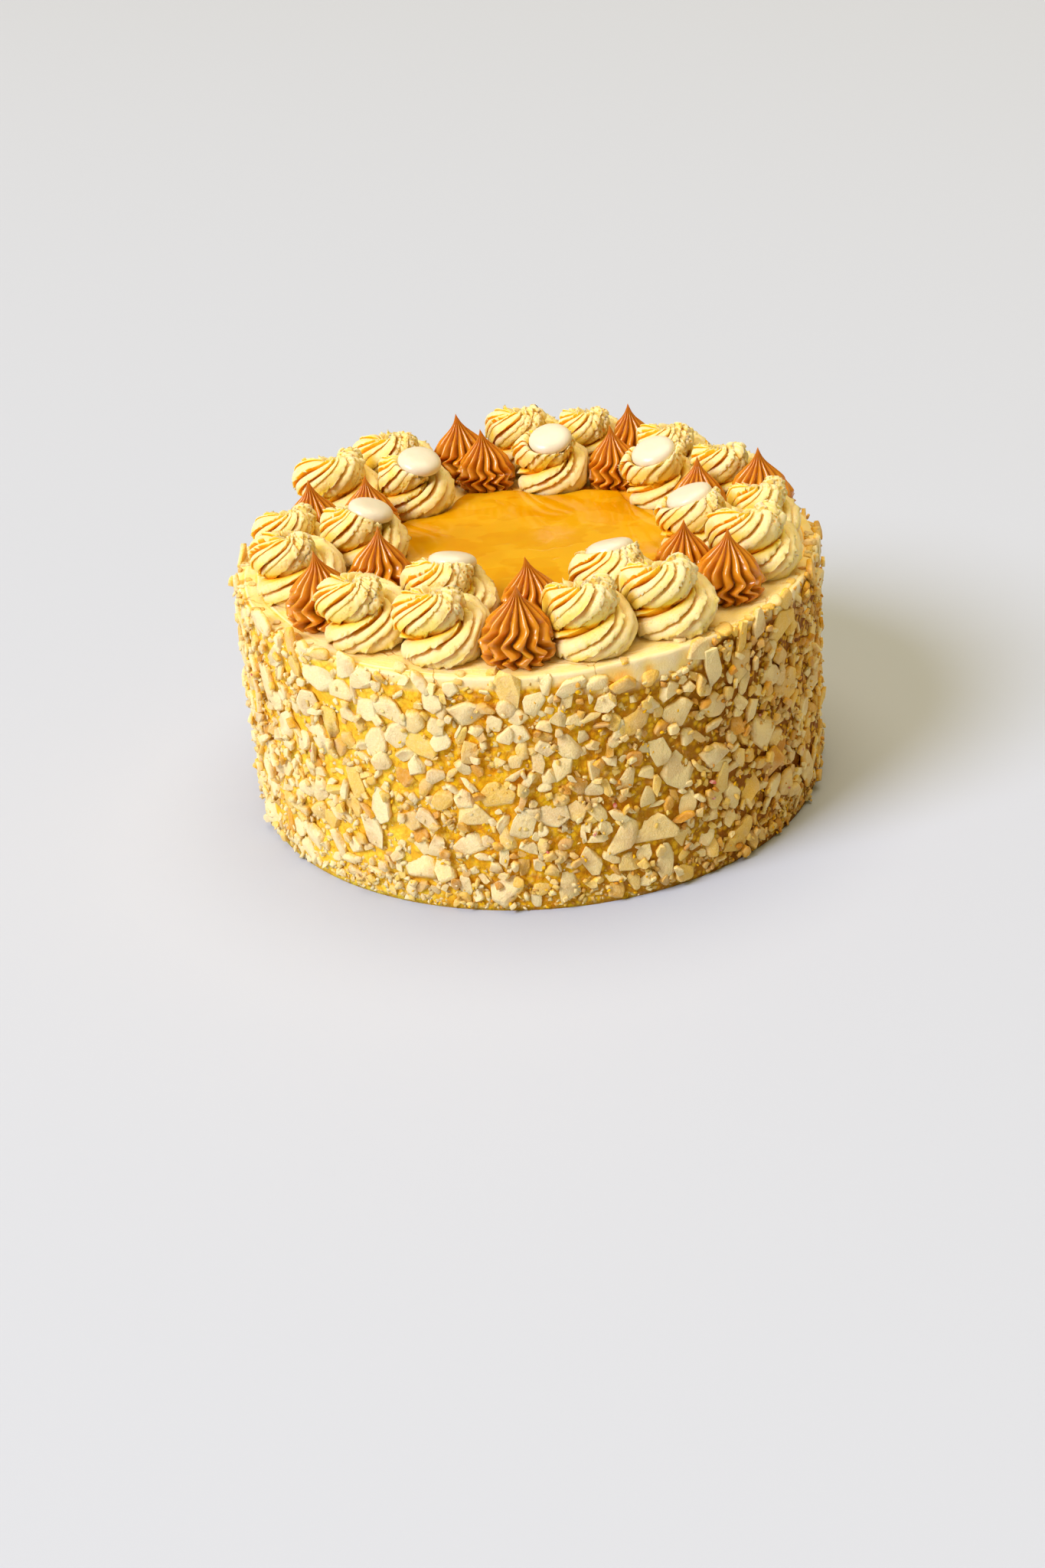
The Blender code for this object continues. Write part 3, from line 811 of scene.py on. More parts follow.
def rope_mesh(name, piece, rosette, rng):
    """The piped rope of one rosette, coiled up in nearly two turns, and the painted shade of its creases."""
    wide, tall = piece.radius / MODEL_RADIUS * FULLNESS, piece.height / MODEL_HEIGHT
    teeth, steps = rosette.teeth, len(TOOTH_PLACE)
    start = rosette.start + rng.normal(0, 0.22)
    turns = rosette.turns + rng.normal(0, 0.03)
    depth = rosette.depth * rng.uniform(0.88, 1.15)
    shift = np.array(UPPER_SHIFT) * wide * rng.uniform(0.6, 1.15)
    widths = rng.uniform(0.78, 1.25, teeth)
    widths[0] = rng.uniform(1.5, 2.1)
    widths *= math.tau / widths.sum()
    edges = np.cumsum(widths) - widths - widths[0] * 0.6
    wander, rag_fine = Grain(rng, 12, 1), rng.uniform(-1, 1, (ROPE_ALONG + 2, teeth))
    rag_mid, rag_big, calm = Grain(rng, 92, teeth), Grain(rng, 30, teeth), Grain(rng, 20, teeth)
    merged = np.where(np.arange(teeth) % 2 == 1, 0.22, 1.15)     # grooves that close on the upper turn
    heights, shifts, places = (np.array(a) for a in (TOOTH_HEIGHT, TOOTH_SHIFT, TOOTH_PLACE))

    def centre(u, climb=1.0):
        psi = start + math.tau * turns * u
        reach = curve(u, REACH) * wide * (1 + 0.05 * wander(u * 9, u * 0))
        path = polar(reach, psi, curve(u, CLIMB) * tall * climb)
        path[:, :2] += np.outer(curve(u, UPPER), shift)
        return path

    def twist(u):
        return math.tau * turns * (1.05 * u + 0.45 * np.maximum(u - 0.5, 0))

    def shape(u, v):
        path = centre(u)
        ahead = centre(u + 0.004, 0.6) - centre(u - 0.004, 0.6)
        ahead /= np.linalg.norm(ahead, axis=1)[:, None]
        out = np.cross(ahead, (0, 0, 1.0))
        out /= np.linalg.norm(out, axis=1)[:, None]
        up = np.cross(out, ahead)
        column = np.clip(np.rint(v * teeth * steps).astype(int), 0, teeth * steps)
        tooth, step = column // steps % teeth, column % steps
        number = tooth.astype(float)
        fine = rag_fine[np.clip((u * ROPE_ALONG).astype(int), 0, ROPE_ALONG + 1), tooth]
        mid, big = rag_mid(u * 85, number), rag_big(u * 26, number)
        ragged = rosette.ragged * (0.45 + 0.9 * np.maximum(calm(u * 17, number), 0))
        lip = np.exp(-((places[step] - 0.20) / 0.07) ** 2)
        nick = np.maximum(fine - 0.45, 0) * np.maximum(0.4 + mid, 0)
        aside = shifts[step] - lip * ragged * (0.03 * fine + 0.05 * mid - 0.12 * nick)
        height = heights[step] + ragged * lip * (0.08 * fine + 0.22 * mid - 1.9 * nick) + lip * 0.15 * big
        groove = curve(u, ((0, .2), (.1, depth), (.9, depth), (.98, .7 * depth), (1, 0)))
        fades = curve(u, ((0, 0), (.50, 0), (.66, 1), (1, 1)))
        nearest = np.where(step < steps / 2, tooth, (tooth + 1) % teeth)
        groove = groove * (1 + fades * (merged[nearest] - 1))
        torn = curve(u, TORN, 0.01)
        radius = curve(u, ROPE, 0.02) * wide * (1 - groove * (1 - height)) * (1 + 0.03 * big)
        radius = radius * (1 + torn * (0.16 * fine + 0.22 * mid))
        beta = edges[tooth] + aside * widths[tooth] + twist(u) - twist(PETAL_AT) + PETAL_FACES
        return path + radius[:, None] * (np.cos(beta)[:, None] * out + np.sin(beta)[:, None] * up)

    mesh = wrapped_grid(name, ROPE_ALONG, teeth * steps, shape)
    # painted shade in the creases where one turn rests on the other
    points, along = read_points(mesh), read_along(mesh)
    clear = np.full(len(points), 1.0)
    for u in np.linspace(0, 1, 90):
        spot, reach = centre(np.array([u]))[0], float(curve(np.array([u]), ROPE)[0]) * wide
        apart = np.linalg.norm(points - spot, axis=1) - reach
        clear = np.where(np.abs(along - u) > 0.3, np.minimum(clear, apart), clear)
    return mesh, np.exp(-np.maximum(clear, 0) / 0.0012)


def button_frame(piece):
    """Middle, upright direction and size of the button on an inner rosette."""
    points = node_points(piece.button())
    middle = points.mean(0)
    spread = points - middle
    normal = np.linalg.svd(spread, full_matrices=False)[2][2]
    normal *= np.sign(normal[2])
    along = spread @ normal
    radius = np.linalg.norm(spread - np.outer(along, normal), axis=1).max()
    return middle, normal, radius, along.min(), along.max()


WELL_UP = 0.0014


def seat_button(points, piece):
    """Lower the cream under the button, and let it well up a little round the rim."""
    middle, normal, radius, low, _ = button_frame(piece)
    spread = points - middle
    along = spread @ normal
    aside = np.linalg.norm(spread - np.outer(along, normal), axis=1)
    # what stands close below the button wells up round it
    beside = ramp(aside, ((0, 0), (radius * 0.75, 0), (radius, 1), (radius * 1.15, 1), (radius * 1.5, 0),
                          (0.05, 0)))
    near = ramp(along - low, ((-1, 0), (-0.007, 0), (-0.0012, 1), (0.001, 1), (0.004, 0), (1, 0)))
    along = along + WELL_UP * beside * near
    room = low - GAP / 2 + ramp(aside, ((0, 0), (radius * 0.90, 0), (radius * 1.01, 0.0012),
                                        (radius * 1.20, 0.0022), (0.05, 0.012)))
    points = points + np.outer(along - spread @ normal, normal)
    over = np.maximum(along - room, 0)
    give = 0.0010
    drop = np.where(aside < radius * 1.01, over, over - give * np.tanh(over / give))
    return points - np.outer(drop, (0, 0, 1)) / normal[2]


def rosette_mesh(piece, pieces, rosette, rng):
    mesh, creases = rope_mesh("piped_" + piece.name, piece, rosette, rng)
    points = press(read_points(mesh), piece.pressed_by(pieces))
    points += (*piece.middle, piece.base)
    if piece.inner:
        points = seat_button(points, piece)
    points[:, 2] = np.maximum(points[:, 2], piece.base)
    write_points(mesh, points)
    # painted light on lips and upward faces, painted shade in folds, creases and downward faces
    add_fold_shade(mesh, rounds=8, reach=0.00068, creases=creases, tilt=0.30)
    mesh.shade_smooth()
    return mesh


class CAKE_OT_rosettes(bpy.types.Operator):
    """Pipe the cream rosettes"""
    bl_idname = "cake.rosettes"
    bl_label = "Rosettes"

    def execute(self, context):
        pieces = piped_pieces()
        finish = cream_finish()
        for number, piece in enumerate(p for p in pieces if p.kind == "rosette"):
            rng = np.random.default_rng(ROSETTE_SEED + number)
            mesh = rosette_mesh(piece, pieces, settings().rosette, rng)
            add_piece("piped_" + piece.name, mesh, finish, "lucuma_cream", piece.name)
        return {'FINISHED'}


# --------------------------------------- caramel stars

STAR_SEED, STAR_ALONG = 400, 72
STAR_OUTLINE = ((0, .84), (.05, .92), (.14, .99), (.26, 1.0), (.38, .93), (.48, .81), (.58, .65), (.68, .44),
                (.77, .25), (.86, .12), (.94, .05), (1, .006))
RIB_PLACES = (0, .12, .24, .34, .41, .46, .50, .54, .59, .66, .76, .88)
FOLDS = (0, .10, .21, .33, .46, .60, 1)         # heights at which the ribs change direction


def star_mesh(piece, pieces, star, rng):
    """One caramel star: rounded ribs that zigzag low down, where the bag paused."""
    ribs = star.ribs
    ruffle, own = Grain(rng, 16, ribs), Grain(rng, 9, ribs)
    lean = rng.normal(0, 0.0007, 2)
    turn = rng.uniform(0, 2 * math.pi / ribs)
    steps = len(RIB_PLACES)
    folds = np.array(FOLDS) * (1 + rng.normal(0, 0.06, len(FOLDS)) * (np.array(FOLDS) < 1))
    sway = rng.choice((-1, 1)) * np.array((.4, -1, 1, -1, .45, 0, 0)) * rng.uniform(0.12, 0.27, len(FOLDS))

    def shape(u, v):
        column = np.clip(np.rint(v * ribs * steps).astype(int), 0, ribs * steps)
        rib = (column // steps % ribs).astype(float)
        w = np.array(RIB_PLACES)[column % steps]
        across = (0.5 + 0.5 * np.cos(math.tau * w)) ** 0.62
        body = curve(u, STAR_OUTLINE, 0.02)
        low = ramp(u, ((0, 1), (.35, .8), (.62, .10), (1, 0)))
        deep = star.depth * ramp(u, ((0, .75), (.15, 1.0), (.45, 1.0), (.8, .95), (.95, .5), (1, 0)))
        kink = curve(u + 0.02 * own(u * 4, rib), list(zip(folds, sway)), 0.026)
        tiers = sum(np.exp(-((u - place) / 0.035) ** 2) for place in folds[1:4])
        radius = piece.radius * body * (1 - deep * (1 - across)) * (1 + 0.055 * (tiers - 0.6) * low * across)
        radius = radius * (1 + low * (0.05 * ruffle(u * 13, rib) * across + 0.04 * own(u * 6, rib)))
        angle = turn + 2 * math.pi * (rib + w) / ribs + kink + 0.05 * low * ruffle(u * 9, rib) + 0.35 * u ** 2
        point = polar(radius, angle, u * piece.height)
        point[:, :2] += np.outer(u ** 3, lean)
        point[:, 2] -= low * 0.0009 * (1 - across) * (u > 0.02)
        return point

    mesh = wrapped_grid("caramel_" + piece.name, STAR_ALONG, ribs * steps, shape)
    points = press(read_points(mesh), piece.pressed_by(pieces), give=0.0008)
    points += (*piece.middle, piece.base)
    points[:, 2] = np.maximum(points[:, 2], piece.base)
    write_points(mesh, points)
    # painted light on the rib crests and painted shade between them
    add_fold_shade(mesh, rounds=10, reach=0.00070)
    mesh.shade_smooth()
    return mesh


class CAKE_OT_stars(bpy.types.Operator):
    """Pipe the caramel stars"""
    bl_idname = "cake.caramel_stars"
    bl_label = "Caramel stars"

    def execute(self, context):
        pieces = piped_pieces()
        finish = caramel_finish()
        for number, piece in enumerate(p for p in pieces if p.kind == "star"):
            mesh = star_mesh(piece, pieces, settings().star, np.random.default_rng(STAR_SEED + number))
            add_piece("caramel_" + piece.name, mesh, finish, "caramel", piece.name)
        return {'FINISHED'}


# --------------------------------------- buttons

BUTTON_SEED = 600
BUTTON_OUTLINE = ((0, .0), (.72, .0), (.90, .06), (.985, .22), (1.0, .40), (.97, .60), (.86, .80), (.66, .93),
                  (.40, .985), (0, 1.0))


def button_mesh(piece, rng):
    """Round flat-bottomed sweet with a low dome, not quite even."""
    middle, normal, radius, low, high = button_frame(piece)
    reach, rise = np.array(BUTTON_OUTLINE).T
    bm = bmesh.new()
    outline = [bm.verts.new((r, 0, z)) for r, z in zip(reach, rise)]
    for pair in zip(outline, outline[1:]):
        bm.edges.new(pair)
    bmesh.ops.spin(bm, geom=bm.verts[:] + bm.edges[:], cent=(0, 0, 0), axis=(0, 0, 1), angle=math.tau,
                   steps=48, use_merge=True)
    bmesh.ops.remove_doubles(bm, verts=bm.verts, dist=1e-5)
    bmesh.ops.recalc_face_normals(bm, faces=bm.faces)
    uneven = Grain(rng, 4, 5)
    for vert in bm.verts:
        angle = math.atan2(vert.co.y, vert.co.x) / math.tau % 1
        wave = float(uneven(np.array([0.5]), np.array([angle * 5]))[0])
        vert.co.x *= 1 + 0.03 * wave
        vert.co.y *= 1 + 0.03 * wave
        vert.co.z *= 1 + 0.10 * wave * (vert.co.x ** 2 + vert.co.y ** 2)
    lean = Vector(normal).rotation_difference(Vector((0, 0, 1))).inverted()
    place = (Matrix.Translation(Vector(middle + normal * low)) @ lean.to_matrix().to_4x4()
             @ Matrix.Diagonal((radius * 0.985, radius * 0.985, high - low, 1)))
    bmesh.ops.transform(bm, matrix=place, verts=bm.verts)
    thing = linked("rough", as_mesh(bm, "sweet_" + piece.button()))
    soft = thing.modifiers.new("soft", 'SUBSURF')
    soft.levels = soft.render_levels = 1
    mesh = applied_mesh(thing)
    mesh.shade_smooth()
    return mesh


class CAKE_OT_buttons(bpy.types.Operator):
    """Lay the pale buttons on the inner rosettes"""
    bl_idname = "cake.buttons"
    bl_label = "Buttons"

    def execute(self, context):
        finish = button_finish()
        inner = [p for p in piped_pieces() if p.kind == "rosette" and p.inner]
        for number, piece in enumerate(inner):
            mesh = button_mesh(piece, np.random.default_rng(BUTTON_SEED + number))
            add_piece("sweet_" + piece.button(), mesh, finish, "pale_button", piece.button())
        return {'FINISHED'}


# --------------------------------------- glaze

GLAZE_SEED, GLAZE_ALONG, GLAZE_AROUND = 71, 60, 260


def glaze_mesh(rng):
    """Pool of glaze with a soft edge that creeps under the piped pieces."""
    points = node_points("glaze")
    low, high = points[:, 2].min(), points[:, 2].max()
    rim = points[points[:, 2] > high - 1e-6]
    bearing = np.arctan2(rim[:, 1], rim[:, 0])
    order = bearing.argsort()
    bearing, reach = bearing[order], np.hypot(rim[:, 0], rim[:, 1])[order]
    wave, swell = Grain(rng, 2, 40), Grain(rng, 12, 12)

    def shape(u, v):
        angle = 2 * math.pi * v - math.pi
        edge = np.interp(angle, bearing, reach, period=2 * math.pi) + 0.0016 + 0.0004 * wave(u * 0, v * 40)
        # underside, rounded rim and top
        share = np.interp(u, (0, .12, .30, 1), (0, .985, .985, 0))
        turn = np.interp(u, (.12, .30), (-math.pi / 2, math.pi / 2))
        bead = np.where((u > .12) & (u < .30), 0.0008 * np.cos(turn), 0)
        height = low + (high - low) * (1 + np.sin(turn)) / 2
        radius = edge * share + bead
        flat = ramp(share, ((0, 1), (.9, 1), (1, 0.3)))
        across, along = radius * np.cos(angle), radius * np.sin(angle)
        height = height + (u > .30) * 0.00012 * swell(across / 0.012 + 6, along / 0.012 + 6) * flat
        return polar(radius, angle, height)

    return wrapped_grid("amber_pool", GLAZE_ALONG, GLAZE_AROUND, shape)


class CAKE_OT_glaze(bpy.types.Operator):
    """Pour the glaze into the middle of the top"""
    bl_idname = "cake.glaze"
    bl_label = "Glaze"

    def execute(self, context):
        mesh = glaze_mesh(np.random.default_rng(GLAZE_SEED))
        mesh.shade_smooth()
        add_piece("amber_pool", mesh, glaze_finish(), "amber_glaze", "glaze")
        return {'FINISHED'}


# --------------------------------------- nuts

def cut(bm, spot, facing):
    """Cut a closed lump along a plane, drop what the plane faces and close the cut."""
    bmesh.ops.bisect_plane(bm, geom=bm.verts[:] + bm.edges[:] + bm.faces[:], plane_co=spot,
                           plane_no=Vector(facing).normalized(), clear_outer=True)
    bmesh.ops.holes_fill(bm, edges=[e for e in bm.edges if e.is_boundary], sides=0)


def chip_shape(rng, cuts):
    """Broken piece of nut with flat faces and worn edges: one unit long, wide and thick."""
    bm = bmesh.new()
    bmesh.ops.create_cube(bm, size=1.0)
    bmesh.ops.translate(bm, vec=(0, 0, 0.5), verts=bm.verts)
    first = rng.uniform(0, math.tau)
    planes = [((rng.normal(0, 0.16), rng.normal(0, 0.16), 1), (0, 0, rng.uniform(0.70, 0.95)))]
    for number in range(cuts):
        bearing = first + math.tau * number / cuts + rng.normal(0, 0.4)
        across = Vector((math.cos(bearing), math.sin(bearing), 0))
        planes.append((across + Vector((0, 0, rng.uniform(-0.15, 0.35))),
                       across * rng.uniform(0.34, 0.51) + Vector((0, 0, 0.5))))
    for facing, spot in planes:
        cut(bm, spot, facing)
    bmesh.ops.remove_doubles(bm, verts=bm.verts, dist=0.02)
    bmesh.ops.bevel(bm, geom=bm.edges[:], offset=0.105, affect='EDGES', segments=1, profile=0.5,
                    material=-1, clamp_overlap=True)
    for vert in bm.verts:
        vert.co *= rng.normal(1, 0.022)
    bmesh.ops.triangulate(bm, faces=bm.faces[:])
    bmesh.ops.recalc_face_normals(bm, faces=bm.faces)
    foot = bm.verts.layers.float.new("foot")
    for vert in bm.verts:
        vert[foot] = min(1.0, max(0.0, 1.25 - 1.6 * vert.co.z))
    return bm


def flake_shape(rng):
    """Thin flake of nut with a few straight sides, one unit across."""
    bm = bmesh.new()
    bmesh.ops.create_cube(bm, size=1.0)
    for bearing in rng.uniform(0, math.tau, 3):
        across = Vector((math.cos(bearing), math.sin(bearing), rng.uniform(-0.2, 0.4)))
        cut(bm, across * rng.uniform(0.30, 0.48), across)
    bmesh.ops.remove_doubles(bm, verts=bm.verts, dist=0.03)
    bmesh.ops.triangulate(bm, faces=bm.faces[:])
    bmesh.ops.recalc_face_normals(bm, faces=bm.faces)
    return bm


def crumb_shape(rng):
    """Small rough lump, about one unit across."""
    bm = bmesh.new()
    bmesh.ops.create_icosphere(bm, subdivisions=1, radius=0.5)
    for vert in bm.verts:
        vert.co *= rng.uniform(0.72, 1.2)
    bmesh.ops.scale(bm, vec=(1, rng.uniform(0.55, 0.95), rng.uniform(0.45, 0.8)), verts=bm.verts)
    bmesh.ops.recalc_face_normals(bm, faces=bm.faces)
    return bm


def scatter(name, shapes, spots, seed):
    """One mesh of pieces: Geometry Nodes set a shape on every spot, turned, sized and tinted."""
    kinds = bpy.data.collections.new(name + "_kinds")
    bpy.context.scene.collection.children.link(kinds)
    for number, bm in enumerate(shapes):
        mesh = as_mesh(bm, f"{name}_kind_{number:02d}")
        kinds.objects.link(bpy.data.objects.new(mesh.name, mesh))
    carrier = bpy.data.meshes.new(name)
    carrier.vertices.add(len(spots))
    carrier.vertices.foreach_set("co", np.array([s["at"] for s in spots], dtype=np.float32).ravel())
    rng = np.random.default_rng(seed)
    bearings = [math.atan2(s["at"][1], s["at"][0]) / math.tau % 1 for s in spots]
    layers = (("turn", 'QUATERNION', [s["turn"] for s in spots]),
              ("size", 'FLOAT_VECTOR', [s["size"] for s in spots]),
              ("tint", 'FLOAT', [s["tint"] for s in spots]),
              # painted shade share, strongest on the side away from the key lamp
              ("toasted", 'FLOAT', [shaded_side_share(around) for around in bearings]),
              ("kind", 'INT', rng.integers(0, len(shapes), len(spots))))
    for word, kind, values in layers:
        layer = carrier.attributes.new(word, kind, 'POINT')
        key = "vector" if kind == 'FLOAT_VECTOR' else "value"
        layer.data.foreach_set(key, np.array(values, dtype=np.int32 if kind == 'INT' else np.float32).ravel())
    thing = linked(name, carrier)
    tree = bpy.data.node_groups.new(name + "_scatter", 'GeometryNodeTree')
    tree.interface.new_socket("Geometry", in_out='INPUT', socket_type='NodeSocketGeometry')
    tree.interface.new_socket("Geometry", in_out='OUTPUT', socket_type='NodeSocketGeometry')

    def node(kind, **words):
        made = tree.nodes.new(kind)
        for key, value in words.items():
            setattr(made, key, value)
        return made

    def named(word, kind):
        read = node('GeometryNodeInputNamedAttribute', data_type=kind)
        read.inputs['Name'].default_value = word
        return next(o for o in read.outputs if o.enabled and o.name == 'Attribute')

    source, sink = node('NodeGroupInput'), node('NodeGroupOutput')
    pick = node('GeometryNodeCollectionInfo')
    pick.inputs['Collection'].default_value = kinds
    pick.inputs['Separate Children'].default_value = True
    pick.inputs['Reset Children'].default_value = True
    spread = node('GeometryNodeInstanceOnPoints')
    spread.inputs['Pick Instance'].default_value = True
    real = node('GeometryNodeRealizeInstances')
    for start, end in ((source.outputs[0], spread.inputs['Points']),
                       (pick.outputs[0], spread.inputs['Instance']),
                       (named("kind", 'INT'), spread.inputs['Instance Index']),
                       (named("turn", 'QUATERNION'), spread.inputs['Rotation']),
                       (named("size", 'FLOAT_VECTOR'), spread.inputs['Scale']),
                       (spread.outputs[0], real.inputs[0]), (real.outputs[0], sink.inputs[0])):
        tree.links.new(start, end)
    thing.modifiers.new("scatter", 'NODES').node_group = tree
    mesh = applied_mesh(thing)
    for kind in list(kinds.objects):
        bpy.data.objects.remove(kind)
    bpy.data.collections.remove(kinds)
    bpy.data.node_groups.remove(tree)
    points = read_points(mesh)
    points[:, 2] = np.maximum(points[:, 2], 0)
    write_points(mesh, points)
    return mesh


class Wall:
    """The coated wall unrolled: it knows how high the nuts already stand at each spot."""

    step = 0.0006

    def __init__(self, radius, top):
        self.radius, self.top = radius, top
        self.across = int(math.tau * radius / self.step)
        self.heights = np.zeros((self.across, int((top + 0.008) / self.step)))

    def cells(self, around, height, half):
        """Indexes of the cells under a round footprint."""
        reach = int(half / self.step) + 1
        a, b = int(around * self.across), int(height / self.step)
        da, db = np.meshgrid(np.arange(-reach, reach + 1), np.arange(-reach, reach + 1), indexing='ij')
        keep = da ** 2 + db ** 2 <= (half / self.step) ** 2
        rows, columns = (a + da[keep]) % self.across, b + db[keep]
        inside = (columns >= 0) & (columns < self.heights.shape[1])
        return rows[inside], columns[inside]

    def cover(self, around, height, half):
        """Share of the footprint that is covered already."""
        return float((self.heights[self.cells(around, height, half)] > 0.0003).mean())

    def lay(self, around, height, half, thickness, sunk, most):
        """Height at which a piece comes to rest on what is there. The wall then counts it."""
        cells = self.cells(around, height, half)
        under = self.heights[cells]
        rest = min(float(np.percentile(under, 65)) if under.size else 0.0, most)
        self.heights[cells] = np.maximum(under, rest + thickness * (1 - sunk))
        return rest - thickness * sunk


def tipped(rng, spread):
    """Small random tilt of a piece about both its axes."""
    return Matrix.Rotation(rng.normal(0, spread), 4, 'X') @ Matrix.Rotation(rng.normal(0, spread), 4, 'Y')


def as_spot(place, length, width, thickness, tint):
    return {"at": place.translation[:], "turn": place.to_quaternion()[:],
            "size": (length, width, thickness), "tint": tint}


def rim_spot(rng, around, inset, length, width, thickness, tint):
    """A spot on the top for one piece that lies near the rim."""
    reach = settings().cream.wall - inset
    tip = tipped(rng, 0.12)
    place = (Matrix.Rotation(math.tau * around, 4, 'Z') @ Matrix.Translation((reach, 0, CREAM_TOP - 0.0004))
             @ Matrix.Rotation(rng.uniform(0, math.tau), 4, 'Z') @ tip)
    return as_spot(place, length, width, thickness, tint)


def wall_spot(wall, rng, around, height, length, width, thickness, tint, turn=None, lean=0.21, sunk=0.28,
              most=0.0022):
    """A spot on the wall for one piece, lying nearly flat on what is under it."""
    angle = math.tau * around
    turn = rng.uniform(0, math.tau) if turn is None else turn
    height = max(height, (length * abs(math.cos(turn)) + width * abs(math.sin(turn))) / 2 + 0.0004)
    out = wall.lay(around, height, (length + width) / 4, thickness, sunk, most)
    tip = tipped(rng, lean)
    place = (Matrix.Rotation(angle, 4, 'Z') @ Matrix.Translation((wall.radius + out, 0, height))
             @ Matrix.Rotation(math.pi / 2, 4, 'Y') @ Matrix.Rotation(turn, 4, 'Z') @ tip)
    return as_spot(place, length, width, thickness, tint)


